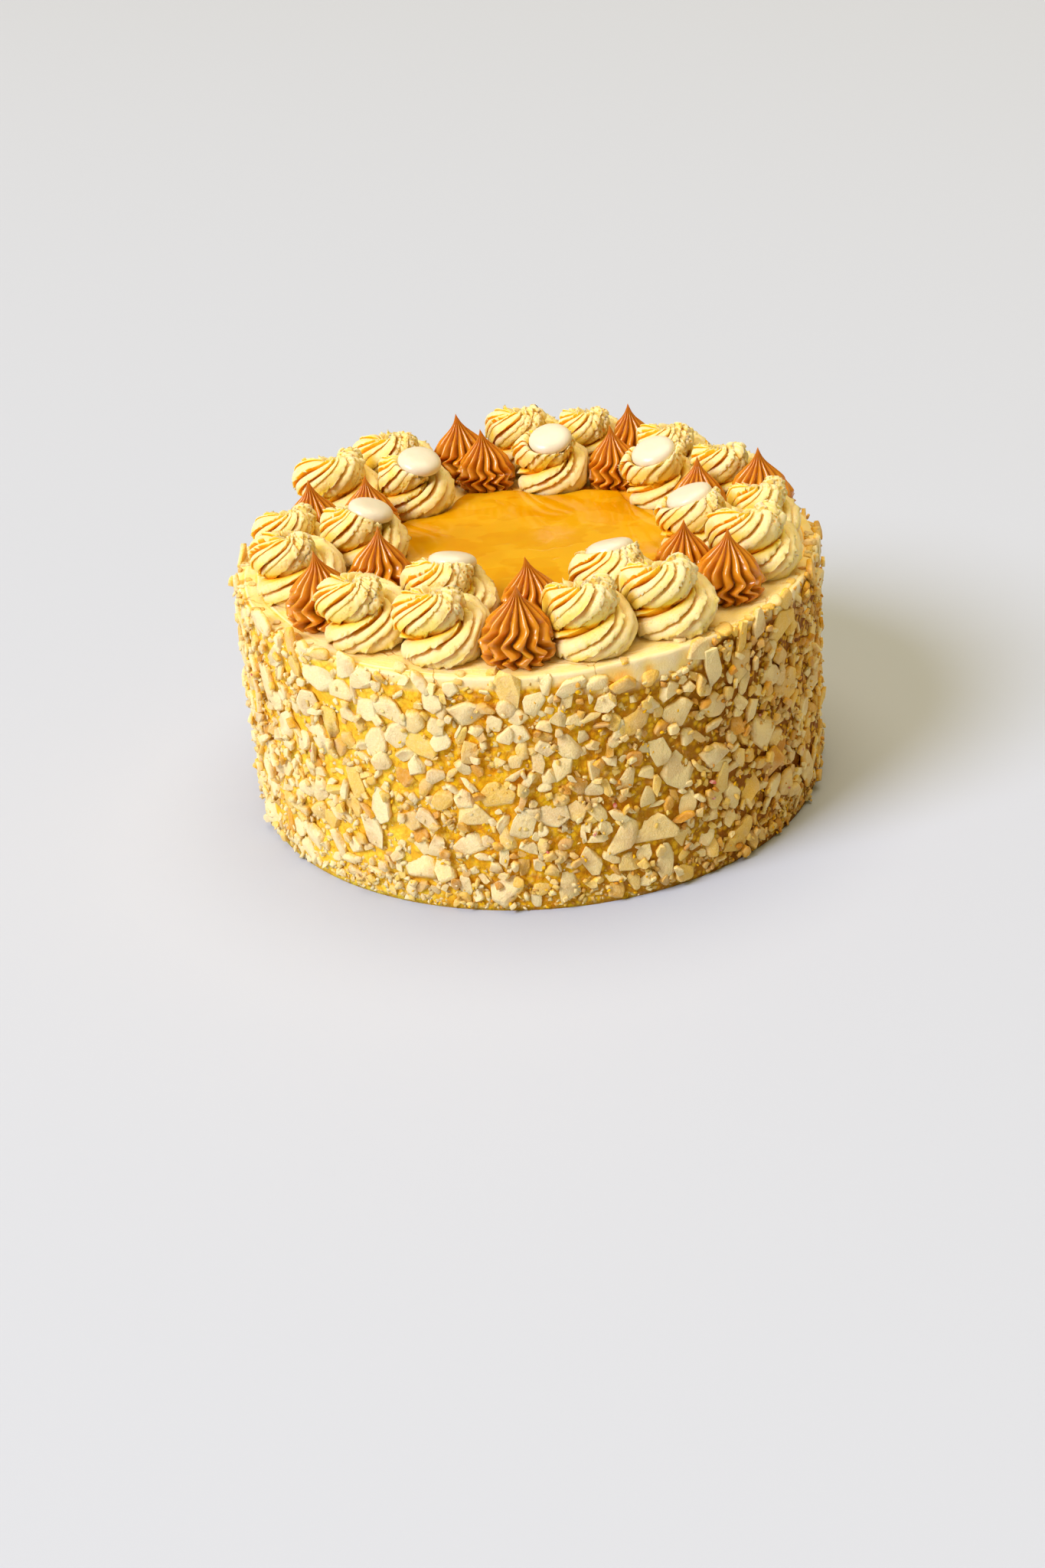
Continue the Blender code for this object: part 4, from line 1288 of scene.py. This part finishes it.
# pieces that stand out on the front: bearing, height, length, width, turn and tint
PLACED_NUTS = (
    (-95.4, 81, 14.3, 10.5, 3, .34), (-88.6, 81, 7.2, 3.8, -11, .05), (-84.5, 80, 10.5, 4.7, -71, 0),
    (-85.2, 75, 5.6, 4.6, -18, .15), (-91.1, 75, 8.5, 7, -27, .10), (-94.1, 70, 6.1, 5.6, -47, .10),
    (-98.3, 69, 6.3, 4.8, 21, .12), (-96.4, 64, 5.9, 5.2, -57, .10), (-103.3, 72, 11.3, 8.1, -68, .12),
    (-99.8, 74, 6.7, 3.7, 86, .78), (-89.3, 67, 5.1, 4.1, 59, .15), (-86.7, 69, 5.3, 4.4, 58, .16),
    (-83.8, 68, 5.9, 4.7, 68, .14), (-81.3, 68, 7.4, 2.5, -71, .22), (-82.7, 62, 4.4, 4.4, 2, .10),
    (-81.2, 58, 4.7, 2.6, 78, .14), (-73.3, 64, 11.3, 7.5, -58, .62), (-75.9, 62, 7, 3.9, -32, .03),
    (-69.5, 68, 7.5, 5.4, 42, .04), (-64.4, 63, 11.6, 10.5, -13, .14), (-89.7, 59, 6.4, 5, 64, .05),
    (-93.8, 59, 7, 4.4, 8, .32), (-91.1, 54, 8, 4.5, 12, .18), (-95.1, 55, 5.4, 4.7, -36, .22),
    (-89.2, 49, 5.9, 5.4, 6, .14), (-95.3, 50, 7.1, 2.5, -57, .12), (-99.1, 43, 12.4, 9.6, -71, .60),
    (-103.4, 36, 10.6, 8.3, 85, .22), (-89.2, 35, 11.2, 8.2, 78, .06), (-84.7, 36, 7.7, 6.9, 15, .28),
    (-94.6, 32, 10.4, 7.9, -37, .12), (-97.7, 27, 9.9, 5.5, 8, .32), (-105.1, 24, 10.9, 8.1, -66, .06),
    (-98.8, 21, 9.3, 3.4, 0, .12), (-93.7, 24, 6.5, 4.6, 69, .08), (-91.4, 21, 5.1, 3.8, -4, .05),
    (-77.1, 32, 9, 4, 51, .12), (-81, 34, 6.8, 5.4, 36, .16), (-74.9, 44, 8.7, 5.8, -28, .16),
    (-71.1, 36, 7.2, 5.9, -15, .18), (-68.3, 51, 9.8, 7, 5, .12), (-71, 45, 5.2, 4.8, 55, .12),
    (-65.3, 43, 15, 10.5, 27, .10), (-69.6, 24, 15, 10.5, 82, .20), (-76.1, 23, 13.9, 8, -37, .14),
    (-75.2, 14, 7.6, 6.2, 78, .24), (-68.5, 11, 13, 6.2, -12, .08), (-74.7, 7, 7.9, 4.4, 21, .28),
    (-78.3, 9, 7.8, 3.7, 83, .16), (-86.9, 8, 10.9, 8.3, -1, .14), (-82.7, 17, 12.4, 7, 31, .16),
    (-88.3, 20, 4.7, 4.7, 84, .34), (-84.1, 45, 6.4, 6.1, 37, .85), (-81.6, 43, 7.6, 5.5, 78, .06),
    (-78, 52, 6, 3.7, 68, .06), (-95, 18, 8.5, 3.6, -2, .76), (-106.2, 9, 8, 4.3, -7, .10),
    (-94.8, 38, 5.3, 3.9, 77, .12), (-92.5, 37, 6.5, 3, 77, .10), (-103.5, 58, 7.6, 5.7, -21, .34),
    (-101, 64, 4.8, 3.7, 59, .76), (-133.8, 76, 15, 9.4, -89, 0), (-127, 83, 8.8, 7.6, -17, .02),
    (-123.5, 80, 10, 8.5, -73, 0), (-123, 70, 8.2, 8.1, -74, .08), (-128.7, 74, 10.9, 7.4, -86, .12),
    (-118, 71, 13.4, 7.9, 65, .10), (-141.2, 83, 13.5, 3.4, 17, .64), (-140.5, 78, 8.6, 4.3, 17, .44),
    (-127.8, 66, 6.5, 5.9, -86, .14), (-124.8, 64, 6.7, 3.8, 20, .64), (-121.9, 59, 11.9, 7.7, 2, .12),
    (-132.2, 61, 10.8, 6.2, 8, .48), (-146.6, 52, 13.5, 8, -19, .03), (-135.3, 54, 10, 7.3, 38, .03),
    (-127.3, 41, 12.2, 5.5, 8, .52), (-128.7, 33, 9.6, 7.1, 16, .62), (-122.4, 35, 12.7, 8.4, 8, .03),
    (-124.7, 24, 13.4, 8.9, 18, .03), (-113.9, 52, 7.5, 5.9, 8, .02), (-110.4, 49, 7.1, 5.6, -53, .05),
    (-112.4, 60, 12.3, 7.9, 58, .46), (-109.4, 67, 6.1, 5.4, -6, .12), (-109.7, 76, 8.7, 6.6, 15, .06),
    (-111.5, 82, 9.4, 4.2, 33, 0), (-113.2, 68, 8.6, 7.4, -15, .20), (-112.6, 33, 8.8, 5.9, 67, .05),
    (-111.2, 23, 8.2, 5.4, -28, .05), (-141.5, 14, 11.8, 8, 64, .05), (-133.6, 15, 11.6, 4.7, 18, .06),
    (-109.3, 41, 7.6, 6.3, -76, .58), (-112.3, 45, 8.1, 4.5, -27, .64), (-159.9, 65, 13.5, 8, 52, 0),
    (-152.5, 86, 12.9, 8, 81, .06), (-166.6, 73, 13.5, 8, 41, .24), (-152, 64, 13.5, 6.3, 21, .14),
    (-150.3, 12, 12.3, 4.8, 15, .84), (-149.6, 22, 7.6, 6.8, 63, .58), (-58.9, 82, 8.6, 7.8, 63, 0),
    (-56.4, 75, 13.6, 5.9, 3, 0), (-49.1, 70, 11.7, 9.2, -9, .22), (-56.5, 61, 9.4, 8.2, 47, .14),
    (-43.5, 43, 14.7, 10.5, 44, .08), (-36.4, 76, 15, 8, -63, .36), (-43.9, 82, 10.3, 6, -8, .02),
    (-49.1, 80, 10.4, 3.5, -27, .38), (-34.2, 53, 12.6, 10.5, 8, .54), (-40.8, 61, 8.4, 8.1, 60, .12),
    (-36.4, 65, 8.1, 6.6, 44, .64), (-47.1, 53, 8.6, 5.2, -22, .12), (-50.4, 39, 7.7, 5.6, -7, .30),
    (-54.8, 39, 8.5, 3.3, -71, .12), (-52.7, 36, 7.6, 2.9, -76, .12), (-55.1, 33, 12.9, 6.2, -21, .32),
    (-57, 28, 7.5, 7.5, 8, .24), (-63.1, 29, 11.8, 6.2, -14, .14), (-64.2, 18, 7.2, 7.1, 77, .28),
    (-51, 5, 14.8, 9.9, -47, .58), (-40.6, 20, 9.5, 9.3, -30, .10), (-25.5, 14, 13, 8, -7, .14),
    (-58.2, 10, 7.5, 5.3, 8, .34), (-53.5, 18, 6.8, 4.7, -22, .18), (-57.5, 22, 5.8, 3.8, -21, .12),
    (-20.4, 60, 13, 8, -43, .28), (-8.5, 65, 13, 8, -59, .20), (-48.7, 64, 8.8, 4.3, -21, .14),
)
# name, how many, lengths, widths as a share, thicknesses, and the cover that stops a piece
NUT_KINDS = (
    ("nut_slabs", 95, (0.0085, 0.0130), (0.60, 0.92), (0.0019, 0.0032), 0.20),
    ("nut_chips", 520, (0.0046, 0.0082), (0.50, 0.95), (0.0017, 0.0030), 0.28),
    ("nut_slivers", 230, (0.0045, 0.0090), (0.22, 0.42), (0.0015, 0.0028), 0.50),
    ("nut_bits", 1300, (0.0019, 0.0042), (0.45, 1.00), (0.0011, 0.0024), 0.60),
)
# name, how many, sizes, and thickness as a share
CRUMB_KINDS = (("nut_flakes", 6500, (.0011, .0027), 0.34), ("nut_crumbs", 8500, (.0008, .0020), 0.7))
SPECK_COUNT, SPECK_SIZES = 26, (0.0014, 0.0030)
CHIP_SHAPES, CHIP_CUTS, CRUMB_SHAPES, SPECK_SHAPES = 16, (4, 8), 12, 6
WALL_SEED, CHIP_SEED, CRUMB_SEED, SPECK_SEED = 12, 77, 78, 79
RIM_PIECES = {"nut_chips": 14, "nut_bits": 90}      # pieces that lie on the top near the rim
RIM_STRETCH = np.concatenate([np.linspace(.845, 1, 60), np.linspace(0, .66, 90), np.linspace(.66, .845, 12)])


def nut_tint(rng, golden=0.0):
    """Tint of one piece: most are pale, some are toasted."""
    draw = rng.uniform() + golden
    if draw < 0.52:
        return rng.uniform(0.0, 0.18)
    if draw < 0.76:
        return rng.uniform(0.20, 0.5)
    return rng.uniform(0.58, 0.95)


def nut_spots(wall, rng, count, lengths, shares, thicknesses, most_cover):
    spots = []
    for _ in range(count):
        length = rng.uniform(*lengths)
        width, thickness = length * rng.uniform(*shares), rng.uniform(*thicknesses)
        for _ in range(6):
            around, low = rng.uniform(), 0.40 * length + 0.0004
            height = rng.uniform(low, wall.top - float(bare_strip(around)))
            if wall.cover(around, height, length * 0.4) < most_cover:
                # painted shade: pieces on the side away from the key lamp draw darker tints; pieces where the
                # crumb coat stays pale draw paler ones
                golden = 0.12 * shaded_side_share(around) - 0.16 * (1 - soaking(around))
                spots.append(wall_spot(wall, rng, around, height, length, width, thickness,
                                       nut_tint(rng, float(golden))))
                break
    return spots


def crumb_spots(wall, rng, count, sizes, thin):
    """Crumbs fill what the nuts leave open, and more of them lie near the foot."""
    spots = []
    for size in rng.uniform(*sizes, count):
        around, limit = rng.uniform(), 0.010 if rng.uniform() < 0.22 else wall.top
        height = rng.uniform(0.0008, min(limit, wall.top - float(bare_strip(around))))
        if wall.cover(around, height, 0.0009) < 0.5 or rng.uniform() < 0.12:
            # the last term is painted shade: crumbs on the side away from the key lamp draw darker tints
            tint = rng.uniform() * (0.35 + 0.65 * float(soaking(around))) + 0.22 * float(shaded_side_share(around))
            spots.append(wall_spot(wall, rng, around, height, size, size * rng.uniform(0.5, 1),
                                   size * thin, tint, lean=0.35, sunk=0.3))
    return spots


class CAKE_OT_nut_coat(bpy.types.Operator):
    """Coat the wall with broken nuts"""
    bl_idname = "cake.nut_coat"
    bl_label = "Nut coat"

    def add_nuts(self, wall, rng, finish):
        placed = [wall_spot(wall, rng, bearing / 360 % 1, height * MM, length * MM, width * MM,
                            rng.uniform(0.0016, 0.0026), tint, math.radians(turn), 0.10)
                  for bearing, height, length, width, turn, tint in PLACED_NUTS]
        for name, count, lengths, shares, thicknesses, most_cover in NUT_KINDS:
            spots = nut_spots(wall, rng, count, lengths, shares, thicknesses, most_cover)
            if name in RIM_PIECES:
                spots += [rim_spot(rng, rng.choice(RIM_STRETCH), rng.uniform(0.0006, 0.0050), length,
                                   length * 0.7, rng.uniform(*thicknesses) * 0.8, nut_tint(rng))
                          for length in rng.uniform(*lengths, RIM_PIECES[name])]
            shapes = [chip_shape(rng, int(rng.integers(*CHIP_CUTS))) for _ in range(CHIP_SHAPES)]
            mesh = scatter(name, shapes, placed + spots, CHIP_SEED)
            mesh.shade_smooth()
            placed = []
            add_piece(name, mesh, finish, "nut_coat")

    def add_crumbs(self, wall, rng, shapes, finishes):
        for (name, count, sizes, thin), shape, finish in zip(CRUMB_KINDS, shapes, finishes):
            spots = crumb_spots(wall, rng, count, sizes, thin)
            mesh = scatter(name, [shape(rng) for _ in range(CRUMB_SHAPES)], spots, CRUMB_SEED)
            mesh.shade_smooth()
            add_piece(name, mesh, finish, "nut_coat")

    def add_specks(self, wall, rng):
        spots = [wall_spot(wall, rng, rng.uniform(), rng.uniform(0.01, wall.top), size, size * 0.8,
                           size * 0.6, 0.5) for size in rng.uniform(*SPECK_SIZES, SPECK_COUNT)]
        mesh = scatter("berry_specks", [crumb_shape(rng) for _ in range(SPECK_SHAPES)], spots, SPECK_SEED)
        add_piece("berry_specks", mesh, berry_finish(), "nut_coat")

    def execute(self, context):
        rng = np.random.default_rng(WALL_SEED)
        wall = Wall(settings().cream.wall, CREAM_TOP)
        finish = nut_finish()
        self.add_nuts(wall, rng, finish)
        self.add_crumbs(wall, rng, (flake_shape, crumb_shape), (finish, crumb_finish()))
        self.add_specks(wall, rng)
        return {'FINISHED'}


# --------------------------------------- stage

# name, place, the point it faces, width, watts and colour
LIGHTS = (("key", (-7.20, -4.90, 7.60), (0, 0, 0.07), 5.6, 1400, (0.98, 0.95, 1.0)),
          ("top", (0.60, 2.00, 12.00), (0, 0, 0.08), 12.0, 1090, (1.0, 0.83, 0.59)))
FLOOR_REACH, VIEW_REACH, SENSOR_WIDTH = 20.0, 50, 36
HORIZON, SKY = (0.52, 0.52, 0.51), (0.34, 0.275, 0.085)
SKY_RISE = (0.08, 0.20)             # heights between which the horizon turns into the sky


class CAKE_OT_stage(bpy.types.Operator):
    """Set the pale floor, the soft light and the camera"""
    bl_idname = "cake.stage"
    bl_label = "Stage"

    def add_floor(self, stage):
        bm = bmesh.new()
        bmesh.ops.create_grid(bm, x_segments=1, y_segments=1, size=FLOOR_REACH)
        mesh = as_mesh(bm, "pale_floor")
        f = Finish("pale_floor")
        mesh.materials.append(f.surface(Base_Color=(*stage.floor, 1.0), Roughness=0.7))
        linked("pale_floor", mesh)

    def add_light(self, name, place, target, size, watts, colour):
        light = bpy.data.lights.new(name, 'AREA')
        light.shape = 'DISK'
        light.size = size
        light.energy = watts
        light.color = colour
        aim = (Vector(target) - Vector(place)).to_track_quat('-Z', 'Y')
        linked(name, light).matrix_world = Matrix.Translation(place) @ aim.to_matrix().to_4x4()

    def add_camera(self, stage):
        camera = bpy.data.cameras.new("camera")
        camera.lens = stage.lens
        camera.sensor_width = SENSOR_WIDTH
        camera.clip_end = VIEW_REACH
        seat = linked("camera", camera)
        seat.matrix_world = (Matrix.Translation(stage.place)
                             @ Matrix.Rotation(math.pi / 2 - stage.elevation, 4, 'X')
                             @ Matrix.Rotation(stage.roll, 4, 'Z'))
        bpy.context.scene.camera = seat

    def warm_world(self):
        """Weak warm light from above, pale at the horizon where it stands behind the floor."""
        f = Finish("studio", bpy.data.worlds, 'Generated')
        height = f.node('ShaderNodeSeparateXYZ', None, {'Vector': f.place}, 'Z')
        rise = f.node('ShaderNodeMapRange', None,
                      {'Value': height, 'From Min': SKY_RISE[0], 'From Max': SKY_RISE[1]})
        light = f.node('ShaderNodeBackground', None, {'Color': f.mix(rise, HORIZON, SKY)})
        f.node('ShaderNodeOutputWorld', None, {'Surface': light})
        return f.owner

    def execute(self, context):
        stage = settings().stage
        self.add_floor(stage)
        for light in LIGHTS:
            self.add_light(*light)
        context.scene.world = self.warm_world()
        context.scene.view_settings.view_transform = 'Standard'
        self.add_camera(stage)
        return {'FINISHED'}


# --------------------------------------- panel and running

class CAKE_PT_panel(bpy.types.Panel):
    """Lists what the cake is made of"""
    bl_label = "Lucuma cake"
    bl_idname = "CAKE_PT_panel"
    bl_space_type = 'VIEW_3D'
    bl_region_type = 'UI'
    bl_category = "Cake"

    def draw(self, context):
        for operator in OPERATORS:
            self.layout.operator(operator.bl_idname)


OPERATORS = (CAKE_OT_stage, CAKE_OT_cream_body, CAKE_OT_nut_coat, CAKE_OT_rosettes, CAKE_OT_stars,
             CAKE_OT_buttons, CAKE_OT_glaze)
CLASSES = (CreamSettings, RosetteSettings, StarSettings, ButtonSettings, GlazeSettings, NutSettings,
           StageSettings, CakeSettings, *OPERATORS, CAKE_PT_panel)


def register():
    for cls in CLASSES:
        bpy.utils.register_class(cls)
    bpy.types.Scene.lucuma_cake = bpy.props.PointerProperty(type=CakeSettings)


def unregister():
    del bpy.types.Scene.lucuma_cake
    for cls in reversed(CLASSES):
        bpy.utils.unregister_class(cls)


def main():
    register()
    bpy.ops.cake.stage()
    bpy.ops.cake.cream_body()
    bpy.ops.cake.nut_coat()
    bpy.ops.cake.rosettes()
    bpy.ops.cake.caramel_stars()
    bpy.ops.cake.buttons()
    bpy.ops.cake.glaze()


if __name__ == "__main__":
    main()
